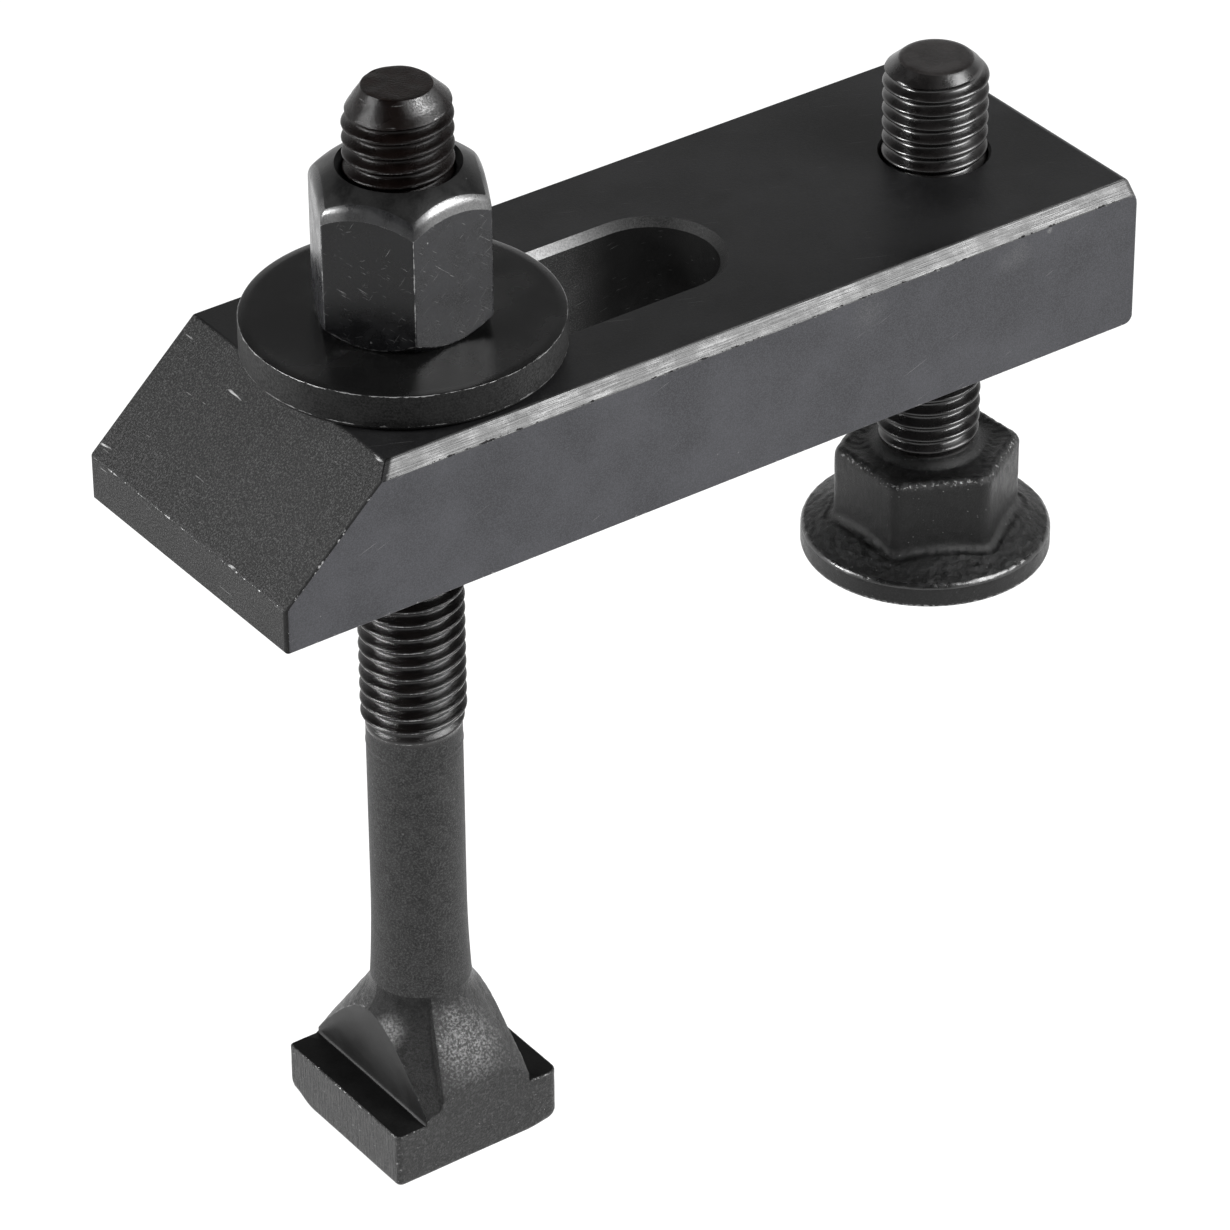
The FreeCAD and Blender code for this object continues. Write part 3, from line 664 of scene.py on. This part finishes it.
# the thread starts at the height low and runs out there into the shank
def threadSkin(spec, low):
    pitch, around, high = spec.pitch, spec.around, spec.end - spec.lipLow
    first = math.floor((low - spec.crestZ) / pitch) - 1
    turns = math.ceil((high - low) / pitch) + 3
    step = np.arange(turns * around + 1)
    shape = np.array(threadShape)
    angles = radians(spec.crestAngle) + step * 2 * pi / around
    height = spec.crestZ + (first + step[:, None] / around + shape[None, :, 0]) * pitch
    radius = spec.crest - shape[None, :, 1] * spec.depth + 0 * height
    height = np.clip(height, low, high)
    radius = spec.shank + (radius - spec.shank) * smoothStep(low, low + spec.runOut, height)
    radius = np.minimum(radius, pointRadius(spec, height, angles[:, None]))
    points = polar(angles[:, None], radius, height, spec.axisX)
    index = np.arange(points.shape[0] * points.shape[1]).reshape(points.shape[:2])
    last = points.shape[0] - around     # the top turn has nothing above its last strip
    upper = np.concatenate([index[:last, 1:], index[around:, :1]], axis=1)
    lower = index[:last]
    faces = np.stack([lower[:-1], lower[1:], upper[1:], upper[:-1]], axis=-1).reshape(-1, 4)
    edge = np.broadcast_to(np.abs(shape[:, 0]) * pitch, points.shape[:2]).reshape(-1)
    points = points.reshape(-1, 3)
    finish = np.where(points[faces[:, 0], 2] > spec.dullFrom, spec.dull, 0)
    return points, faces, finish, edge


# the thread's end face: a lip, then flat rings that are a little rough
def tipSkin(spec):
    angles = radians(spec.crestAngle) + np.arange(spec.around) * 2 * pi / spec.around
    edge = spec.end - spec.lipLow
    lip = pointRadius(spec, edge, angles)
    rings = [(lip, edge), (lip - spec.lipLow, spec.end - spec.lipHigh), (spec.tip - spec.lipWidth, spec.end)]
    rings += [(radius, spec.end) for radius in spec.tipRings]
    radius, height = (np.stack([value + 0 * angles for value in values]) for values in zip(*rings))
    points = polar(angles, radius, height, spec.axisX)
    sink = (lumps(points, 1.6, spec.tipSeed) - 0.9) * spec.tipRough
    points[..., 2] += sink * smoothStep(0, 0.1, height - edge)
    return ringSkin(points, 1, 3.0)


boltSpec = {
    "axisX": 0.0, "pitch": 1.75, "around": 84, "crest": 5.92, "depth": 1.0, "crestZ": 71.23,
    "crestAngle": -123.44, "threadEnd": 53.2, "runOut": 2.2, "dullFrom": 105.0, "dull": 7,
    "end": 133.0, "tip": 3.7, "point": 2.2, "pointSide": 150.0, "pointMore": 1.6, "pointRough": 0.07,
    "lipLow": 0.12, "lipHigh": 0.03, "lipWidth": 0.35, "tipRings": (2.6, 1.7, 0.8, 0.0), "tipSeed": 3,
    "tipRough": 0.07, "shank": 5.385, "swell": 0.45, "ridge": 51.1, "coneTop": 18.1, "coneFoot": 7.6,
    "neck": 7.0, "head": 11.0, "thick": 7.0, "under": 0.6, "leftCut": 1.6, "rightCut": 0.9,
    "nearCut": 0.1, "corner": 1.1, "leftCorner": 0.4, "nearCorner": 0.6, "frontRound": 0.9,
    "wallRound": 0.1, "wallFoot": 0.4, "fillet": 0.5, "slabRound": 0.22,
    # where the slab's left side takes its own look and the hollow its painted shade: by cosine and in
    # degrees
    "sideLook": -0.72, "hollowLook": (-95, -24),
    # flatter facet and hollow on the cone, from their crisp edge to their faded one, in degrees
    "facetEdge": (-25.5, -22.0), "facetFade": (48.0, 8.0), "facetRise": 0.6,
    "hollowEdge": (-22.0, -26.0), "hollowFade": (-78.0, -40.0), "hollowDepth": 0.7,
}
boltLooks = {
    "boltThread": {
        "steel": (0.001, 0.002, 0.12, 2.5, 0.034, 0.13, 0.46), "tooth": (0.4, 0.65, 0.1, 2.0),
        "worn": (0.1, 0.52, 0.8), "bareTone": 0.3, "tint": (1.3, 0.95, 0.85), "bareShare": 0.9,
    },
    "boltTip": {"steel": (0.001, 0.004, 0.3, 1.4, 0.08, 0.34, 0.1), "tint": (1.5, 0.95, 0.8)},
    "boltShank": {
        "steel": (0.02, 0.032, 0.22, 1.6, 0.05, 0.46, 0.08), "tooth": (0.45, 0.63, 0.7, 2.3),
        "specks": [(1.4, 0.18, 0.18)], "bareTone": 0.12, "bareShare": 0.6,
    },
    "neckWall": {
        "steel": (0.01, 0.014, 0.3, 4.0, 0.015, 0.4, 0.36), "tooth": (0.4, 0.65, 0.15, 2.0),
        "worn": (0.1, 0.38, 0.6), "bareTone": 0.18,
    },
    "boltForged": {
        "steel": (0.006, 0.015, 0.3, 1.6, 0.145, 0.34, 0.34), "tooth": (0.48, 0.66, 0.9, 3.6),
        "worn": (0.35, 0.5, 0.45), "bareTone": 0.26, "spotGrain": 0.92, "spotRange": (0.42, 0.64),
        # painted highlights: a bright speckled sheen on the cone's front facet and near its top
        "spots": [((0.3, -8.6, 13.8), 0.5, 6.0, 0.85), ((-0.5, -6.6, 16.4), 0.3, 2.2, 0.7)],
        "specks": [(0.6, 0.14, 0.09), (1.5, 0.1, 0.2)],
    },
    # top of the slab beside the neck: a darker copy of the forged steel, which is painted shade
    "boltLedgeShaded": {"steel": (0.003, 0.005, 0.3, 3.0, 0.02, 0.45, 0.1)},
    # hollow beside the facet: a darker, duller copy of the forged steel, which is painted shade, with a
    # painted highlight near the arch
    "boltHollowShaded": {
        "steel": (0.002, 0.008, 0.28, 1.2, 0.13, 0.4, 0.18), "tooth": (0.4, 0.65, 0.6, 3.0),
        "worn": (0.7, 0.42, 0.4), "bareTone": 0.22, "spots": [((-6.9, -3.4, 15.6), 0.3, 2.6, 0.75)],
    },
    "boltThreadTop": {
        "steel": (0.001, 0.002, 0.2, 2.5, 0.04, 0.25, 0.15), "tooth": (0.4, 0.65, 0.1, 2.0),
        "worn": (0.1, 0.46, 1.2), "bareTone": 0.16, "tint": (1.6, 0.9, 0.75), "bareShare": 0.8,
        # painted highlight on the front of the cone at the bolt's end
        "spots": [((0.6, -3.9, 132.2), 0.6, 3.0, 1.0)], "spotGrain": 0.6,
    },
}
boltLooks["slabSide"] = {
    **boltLooks["boltForged"], "steel": (0.001, 0.018, 0.26, 1.6, 0.12, 0.34, 0.34),
    "tooth": (0.5, 0.62, 1.0, 3.0), "lines": (0.25, 0.3, 3.0), "lineTone": 1.0, "lineDepth": 0.14,
    "lineRange": (0.46, 0.6), "specks": [(0.8, 0.2, 0.13)],
}


# radius of the square head in each direction; its corners were trimmed unevenly
def squareRadius(angles, spec):
    half = spec.head
    cosine, sine = np.cos(angles), np.sin(angles)
    leftSize = np.where(sine > 0, spec.leftCorner, spec.nearCorner)
    size = np.where(cosine > 0, spec.corner, leftSize)
    cosine, sine = np.abs(cosine), np.abs(sine)
    radius = half / np.maximum(cosine, sine)
    centre = half - size
    along = centre * (cosine + sine)
    rounded = np.minimum(radius * cosine, radius * sine) > centre
    inside = np.maximum(along ** 2 - 2 * centre ** 2 + size ** 2, 0)
    return np.where(rounded, along + np.sqrt(inside), radius)


# height of the forged cone at a radius: a flatter facet at the front, a hollow to its left
def coneHeight(radius, angles, spec):
    foot = spec.shank + spec.swell
    fall = (spec.coneTop - spec.coneFoot) / (math.hypot(spec.neck, spec.head) - foot)
    across, ahead = radius * np.cos(angles), -radius * np.sin(angles)
    aside = np.degrees(np.arctan2(across, ahead))      # 0 straight ahead, rising to the right
    facet = (radius - ahead) * fall * spec.facetRise
    facet = facet * smoothStep(*spec.facetEdge, aside) * smoothStep(*spec.facetFade, aside)
    hollow = smoothStep(*spec.hollowEdge, aside) * smoothStep(*spec.hollowFade, aside)
    hollow = hollow * smoothStep(foot - 0.3, foot + 1.5, radius) * spec.hollowDepth
    hollow = hollow * smoothStep(spec.neck + 3.5, spec.neck, radius * np.abs(np.cos(angles)) + 3.5)
    return spec.coneTop - (radius - foot) * fall + facet * (ahead > 0) - hollow


def buildBolt():
    s = SimpleNamespace(**boltSpec)
    # head, neck, cone and shank as one skin of columns round the axis
    corner = math.degrees(math.atan2(s.head, s.neck))
    special = [corner - 0.02, corner + 0.02, 180 - corner - 0.02, 180 - corner + 0.02]
    degrees = np.concatenate([np.arange(-180, 180, 1.0)] + [[a, -a] for a in special])
    angles = np.radians(np.sort(degrees))
    cosine, sine = np.cos(angles), np.sin(angles)
    absCos, absSin = np.abs(cosine), np.abs(sine)
    toWall = s.neck / np.maximum(absCos, 1e-6)
    toFront = s.head / np.maximum(absSin, 1e-6)
    neck, onWall = np.minimum(toWall, toFront), toWall < toFront
    square = squareRadius(angles, s)
    foot = s.shank + s.swell
    shank, wall, forged, shadedLedge, hollow, _, side = range(2, 9)      # material numbers
    rows, finish, edge = [], [], []

    def addRow(radius, height, kind, gap=3.0):
        rows.append(polar(angles, radius, height))
        finish.append(kind)
        edge.append(gap + 0 * angles)

    for radius, height in ((0.0, 0.0), (6.0, 0.0)):
        addRow(radius, height, forged)
    less, more = np.minimum(absCos, absSin), np.maximum(absCos, absSin)
    cut = np.where(cosine > 0, s.rightCut, np.where(sine > 0, s.leftCut, s.nearCut))
    under = s.under + cut * smoothStep(0.6, 1.0, less / more)
    addRow(square - under - 0.1, 0.0, forged, 0.5)
    for turn in np.radians((10, 28, 46, 64, 82)):
        addRow(square - under * (1 - sin(turn)), under * (1 - cos(turn)), forged, 0.3)
    # rounding of the slab's top edge, beside the neck only
    soft = np.where(np.abs(square * cosine) > s.neck + 0.3, s.slabRound, 0.0)
    fromCorner = np.maximum(s.head - 0.4 - square * less, 0.14)
    for t in np.linspace(0.0, 1, 13):
        fromTop = np.where((soft > 0) & (t > 0.95), 0.15, 3.0)
        height = under + 0.1 + (s.thick - 0.1 - s.slabRound - under) * t
        addRow(square, height, forged, np.minimum(fromCorner, fromTop))
    height = s.thick - s.slabRound + np.where(soft > 0, 0.15, s.slabRound)
    addRow(square - soft * 0.3, height, forged, np.where(soft > 0, 0.05, 3.0))
    addRow(square - soft, s.thick, shadedLedge, 0.15)
    wallFoot = np.where(onWall, s.wallFoot, 0.0)
    addRow(np.maximum(np.minimum(neck + wallFoot, square - soft), neck), s.thick, shadedLedge, 3.0)
    for t in (0.35, 0.7, 1.0):
        turn = t * pi / 2
        reach = np.minimum(neck + wallFoot * (1 - sin(turn)) / np.maximum(absCos, 0.5), square)
        addRow(np.maximum(reach, neck), s.thick + wallFoot * (1 - cos(turn)), wall, 3.0)
    # the cone meets the walls in a crisp line, and the front and rear faces in a soft one
    half = np.degrees(angles) % 180
    away = np.minimum(np.abs(half - corner), np.abs(half - 180 + corner))
    frontBend = s.wallRound + (s.frontRound - s.wallRound) * smoothStep(0, 9, away)
    bend = np.where(onWall, s.wallRound, frontBend)
    base, top = s.thick + wallFoot, coneHeight(neck, angles, s)
    for t in np.linspace(0.06, 1, 16):
        addRow(neck, base + (top - bend - base) * t, wall, (top - base) * (1 - t) + 0.1)
    coneStart = len(rows)
    inner, fillet = neck - bend, s.fillet
    for t in (0.25, 0.5, 0.75, 1.0):
        height = curve(t, top - bend, top, coneHeight(inner, angles, s))
        addRow(inner + (1 - t * t) * bend, height, forged, np.where(onWall, 0.09, 3.0))
    for t in np.linspace(0.03, 1, 42):
        radius = inner + (foot + fillet - inner) * t
        gap = np.where(onWall, np.minimum(inner - radius + 0.09, 3.0), 3.0)
        addRow(radius, coneHeight(radius, angles, s), forged, gap)
    low, middle = coneHeight(foot + fillet, angles, s), coneHeight(foot + 0 * angles, angles, s)
    for t in (0.3, 0.6, 1.0):
        addRow(foot + fillet * (1 - t) ** 2, curve(t, low, middle, middle + 0.6), forged)
    for height in np.linspace(s.coneTop + 1.4, s.coneTop + 14, 14):
        t = np.clip((height - s.coneTop) / 13, 0, 1)
        addRow(s.shank + s.swell * (1 - t) ** 2, height, shank)
    shaft = [np.linspace(s.coneTop + 15, 49.5, 12), np.linspace(50, 52.4, 13), [53.6]]
    for height in np.concatenate(shaft):
        ridge = 0.07 * math.exp(-((height - s.ridge) / 0.22) ** 2)
        groove = 0.05 * math.exp(-((height - s.ridge + 0.45) / 0.25) ** 2)
        addRow(s.shank + ridge - groove - 0.004, height, shank)
    points, kinds = np.stack(rows), np.array(finish)
    # forged faces are uneven, the machined walls and the ledge nearly flat
    amount = np.where(kinds == forged, 0.075, np.where(kinds == shank, 0.012, 0.004))[:, None]
    shift = lumps(points, 1.4, 5) + 0.6 * lumps(points, 0.6, 9) + 0.3 * lumps(points, 0.35, 11)
    outward = np.stack([cosine, sine, 0 * angles], axis=-1)[None]
    upper = (kinds == forged)[:, None] & (points[..., 2] > s.thick + 0.3)
    push = np.where(upper[..., None], outward * 0.5 + np.array([0, 0, 0.8]), outward * 0.5)
    flatSide = (kinds == forged)[:, None] & (points[..., 2] < s.thick + 0.1)
    amount = np.where(flatSide, 0.035, amount) * np.ones_like(points[..., 2])
    points = points + (amount * shift)[..., None] * push * (points[..., 2:3] > 0.3)
    body = ringSkin(points, kinds, np.stack(edge))
    kind = np.broadcast_to(kinds[:-1, None], (len(rows) - 1, len(angles))).copy()
    kind[~onWall[None, :] & (kind == wall)] = forged      # front and rear faces are forged
    aside = np.degrees(np.arctan2(cosine, -sine))
    onCone = (np.arange(len(rows) - 1) >= coneStart)[:, None]
    # faces in the hollow take the painted-shade look
    inHollowShade = ((aside > s.hollowLook[0]) & (aside < s.hollowLook[1]))[None, :]
    kind[onCone & (kind == forged) & inHollowShade] = hollow
    kind[~onCone & (kind == forged) & (cosine < s.sideLook)[None, :]] = side
    body = (body[0], body[1], kind.reshape(-1), body[3])
    makePiece("tBolt", [body, threadSkin(s, s.threadEnd), tipSkin(s)], boltLooks, "t_bolt")


# support screw: thread, hexagon and flanged foot
screwSpec = {
    "axisX": 71.3, "pitch": 1.75, "around": 112, "crest": 5.92, "depth": 0.95, "crestZ": 103.4,
    "crestAngle": -128.83, "runOut": 2.5, "dullFrom": 999.0, "dull": 0, "end": 113.0, "tip": 4.05,
    "point": 1.75, "pointSide": 0.0, "pointMore": 0.0, "pointRough": 0.0, "lipLow": 0.15,
    "lipHigh": 0.04, "lipWidth": 0.4, "tipRings": (3.0, 2.0, 1.0, 0.0), "tipSeed": 4, "tipRough": 0.01,
    "shank": 5.5, "floor": 49.7, "flange": 14.4, "rim": 2.75, "rise": 1.9, "crown": 10.6, "hexTop": 13.7,
    "flats": 19.0, "turned": 32.3, "cornerRound": 1.7, "root": 6.6, "fillet": 1.2, "brow": 1.3,
    "browReach": 1.1,
}
screwLooks = {
    "screwThread": {"steel": (0.0015, 0.003, 0.4, 2.5, 0.016, 0.27, 0.72), "tint": (1.2, 0.97, 0.95)},
    "screwTip": {"steel": (0.008, 0.014, 0.4, 3.0, 0.02, 0.36, 0.5), "tint": (1.1, 0.97, 0.95)},
    "footForged": {
        "steel": (0.0012, 0.004, 0.18, 1.2, 0.085, 0.34, 0.28), "tooth": (0.48, 0.66, 0.8, 4.0),
        "worn": (0.5, 0.52, 0.4), "bareTone": 0.22, "specks": [(0.5, 0.16, 0.08)],
    },
    "footRim": {"steel": (0.0014, 0.0036, 0.4, 2.0, 0.03, 0.27, 0.9)},
}


def buildScrew():
    s = SimpleNamespace(**screwSpec)
    angles = np.radians(np.arange(0, 360, 1.0))
    hexagon = hexRadius(angles, s.flats, s.turned, s.cornerRound)[0]
    floor, top = s.floor, s.floor + s.hexTop
    rows, edge = [], []

    def addRow(radius, height, gap=3.0):
        rows.append(polar(angles, radius, height, s.axisX))
        edge.append(gap + 0 * angles)

    flange, rim = s.flange, floor + s.rim
    for radius, height, gap in ((0, 0, 3), (8, 0, 3), (flange - 0.4, 0, 0.2), (flange - 0.1, 0.12, 0.0),
                                (flange, 0.4, 0.1)):
        addRow(radius, floor + height, gap)
    for t in (0.2, 0.45, 0.7, 1.0):
        addRow(flange, floor + 0.4 + (s.rim - 0.9) * t)
    rimStart = len(rows)
    for turn in np.radians((12, 24, 36, 48, 61)):      # rounded upper rim
        addRow(flange - 0.8 * (1 - cos(turn)), rim - 0.5 + 0.8 * sin(turn))
    rimEnd = len(rows)
    fillet, brow = s.fillet, s.brow
    inner = hexagon + fillet     # where the fillet under the hexagon starts
    for t in np.linspace(0.06, 1, 16):
        radius = flange - 0.41 + (inner - flange + 0.41) * t
        rise = np.clip((flange - radius) / (flange - s.crown), 0, 1.15)
        addRow(radius, rim + s.rise * rise)
    start = rim + s.rise * np.clip((flange - inner) / (flange - s.crown), 0, 1.15)
    for t in np.linspace(0.12, 1, 8):      # fillet up to the hexagon's side
        turn = t * pi / 2
        addRow(inner - fillet * sin(turn), start + fillet * (1 - cos(turn)))
    for t in np.linspace(0.08, 1, 14):
        addRow(hexagon, start + fillet + (top - brow - start - fillet) * t)
    for t in np.linspace(0.12, 1, 9):      # soft upper edge
        turn = t * pi / 2
        addRow(hexagon - s.browReach * (1 - cos(turn)), top - brow + (brow - 0.1) * sin(turn),
               0.1 + abs(t - 0.5))
    land = hexagon - s.browReach
    for t in np.linspace(0.08, 1, 14):     # slightly dished down to the thread's root
        dish = -0.25 * sin(t * pi * 0.8) + 0.1 * t
        addRow(land + (s.root - land) * t, top - 0.1 + dish)
    for radius, height in ((6.35, 0.12), (6.05, 0.35), (5.75, 0.6), (5.3, 0.75)):
        addRow(radius, top + height, 3.0)
    points = np.stack(rows)
    radial = np.hypot(points[..., 0] - s.axisX, points[..., 1])
    outward = np.stack([points[..., 0] - s.axisX, points[..., 1], 0 * radial], axis=-1)
    outward = outward / np.maximum(radial, 1e-6)[..., None]
    rough = 0.4 * lumps(points, 2.2, 21) + 0.6 * lumps(points, 0.9, 22) + 0.5 * lumps(points, 0.45, 23)
    free = smoothStep(floor + 0.2, floor + 0.8, points[..., 2])
    onTop = smoothStep(rim - 0.3, rim + 0.2, points[..., 2]) * (points[..., 2] < top + 0.3)
    push = np.minimum(rough * 0.054, flange - radial) * free
    points = points + push[..., None] * outward
    points[..., 2] += rough * 0.10 * onTop * smoothStep(6.3, 7.0, radial)
    footForged, footRim = 2, 3      # material numbers
    kinds = [footRim if rimStart <= row < rimEnd - 1 else footForged for row in range(len(rows))]
    skins = [ringSkin(points, kinds, np.stack(edge)), threadSkin(s, top + 0.2), tipSkin(s)]
    makePiece("supportScrew", skins, screwLooks, "support_screw")


# studio: pale floor, white surroundings, soft lamps and the camera
studioSpec = {
    "floorSize": 6000.0, "floorHeight": -13.5, "floorTone": 0.8, "floorShade": 0.25, "floorGlow": 0.82,
    "surround": 0.11, "ceiling": (0.15, 0.5), "overhead": 0.08,
    # name, azimuth and elevation from the clamp, then distance, width and height in metres, power
    "lamps": [("rightSoftbox", -55, 39, 1.0, 0.54, 0.56, 16.0),
              ("leftSoftbox", 157, 24, 0.5, 0.1, 0.13, 3.2)],
    "aim": (20.0, 0.0, 70.0), "cameraAt": (-326.12, -493.85, 458.01), "yaw": 54.415, "pitch": 33.474,
    "roll": -0.406, "lens": 190.915, "sensor": 36.0,
}


# light paths of the kinds that a material or the world tells apart
def rays(tree, *kinds):
    path = addNode(tree, "LightPath").outputs
    return [path["Is " + kind + " Ray"] for kind in kinds]


def buildStudio():
    s = SimpleNamespace(**studioSpec)
    scene = bpy.context.scene
    half, height = s.floorSize / 2, s.floorHeight
    corners = [(-half, -half, height), (half, -half, height), (half, half, height), (-half, half, height)]
    mesh = newMesh("floor", np.array(corners), [(0, 1, 2, 3)])
    addObject("floor", mesh)
    paper = bpy.data.materials.new("floorPaper")
    paper.use_nodes = True
    tree = paper.node_tree
    tree.nodes.clear()
    plain = addNode(tree, "BsdfDiffuse", {"Color": grey(s.floorTone)})
    shaded = addNode(tree, "BsdfDiffuse", {"Color": grey(s.floorShade)})
    glow = addNode(tree, "Emission", {"Color": grey(1.0), "Strength": s.floorGlow})
    lit = addNode(tree, "AddShader", {0: shaded.outputs[0], 1: glow.outputs[0]})
    seen = pick(tree, "MAXIMUM", rays(tree, "Camera", "Glossy", "Transmission"))
    mixed = addNode(tree, "MixShader", {0: seen, 1: plain.outputs[0], 2: lit.outputs[0]})
    addNode(tree, "OutputMaterial", {"Surface": mixed.outputs[0]})
    mesh.materials.append(paper)
    world = bpy.data.worlds.new("studio")
    scene.world = world
    world.use_nodes = True
    tree = world.node_tree
    camera, transmission, glossy, diffuse = rays(tree, "Camera", "Transmission", "Glossy", "Diffuse")
    upward = addNode(tree, "SeparateXYZ", {0: addNode(tree, "TexCoord").outputs["Generated"]}).outputs[2]
    ceiling = ramp(tree, upward, *s.ceiling, 1.0, s.overhead)
    mirrored = calc(tree, "MULTIPLY", glossy, ceiling)
    diffused = calc(tree, "MULTIPLY", diffuse, s.surround)
    strength = pick(tree, "MAXIMUM", [camera, transmission, mirrored, diffused])
    fillInputs(tree, tree.nodes["Background"], {"Color": grey(1.0), "Strength": strength})
    aim = Vector(s.aim) * mm
    for name, azimuth, elevation, distance, width, height, power in s.lamps:
        a, e = radians(azimuth), radians(elevation)
        away = Vector((cos(a) * cos(e), sin(a) * cos(e), sin(e)))
        data = bpy.data.lights.new(name, "AREA")
        data.shape, data.size, data.size_y, data.energy = "RECTANGLE", width, height, power
        lamp = addObject(name, data)
        lamp.location = aim + away * distance
        lamp.rotation_mode = "QUATERNION"
        lamp.rotation_quaternion = (-away).to_track_quat("-Z", "Y")
    yaw, pitch, roll = (radians(angle) for angle in (s.yaw, s.pitch, s.roll))
    ahead = Vector((cos(yaw) * cos(pitch), sin(yaw) * cos(pitch), -sin(pitch)))
    right = Vector((sin(yaw), -cos(yaw), 0))
    up = right.cross(ahead)
    right, up = right * cos(roll) + up * sin(roll), up * cos(roll) - right * sin(roll)
    data = bpy.data.cameras.new("camera")
    data.lens, data.sensor_width, data.sensor_fit = s.lens, s.sensor, "AUTO"
    data.clip_start, data.clip_end = 0.01, 20.0
    camera = addObject("camera", data)
    turn = Matrix((right, up, -ahead)).transposed().to_4x4()
    camera.matrix_world = Matrix.Translation(Vector(s.cameraAt) * mm) @ turn
    scene.camera = camera
    scene.view_settings.view_transform = "Standard"
    print("studio ready")


for build in (buildStrap, buildWasher, buildNut, buildBolt, buildScrew, buildStudio):
    build()
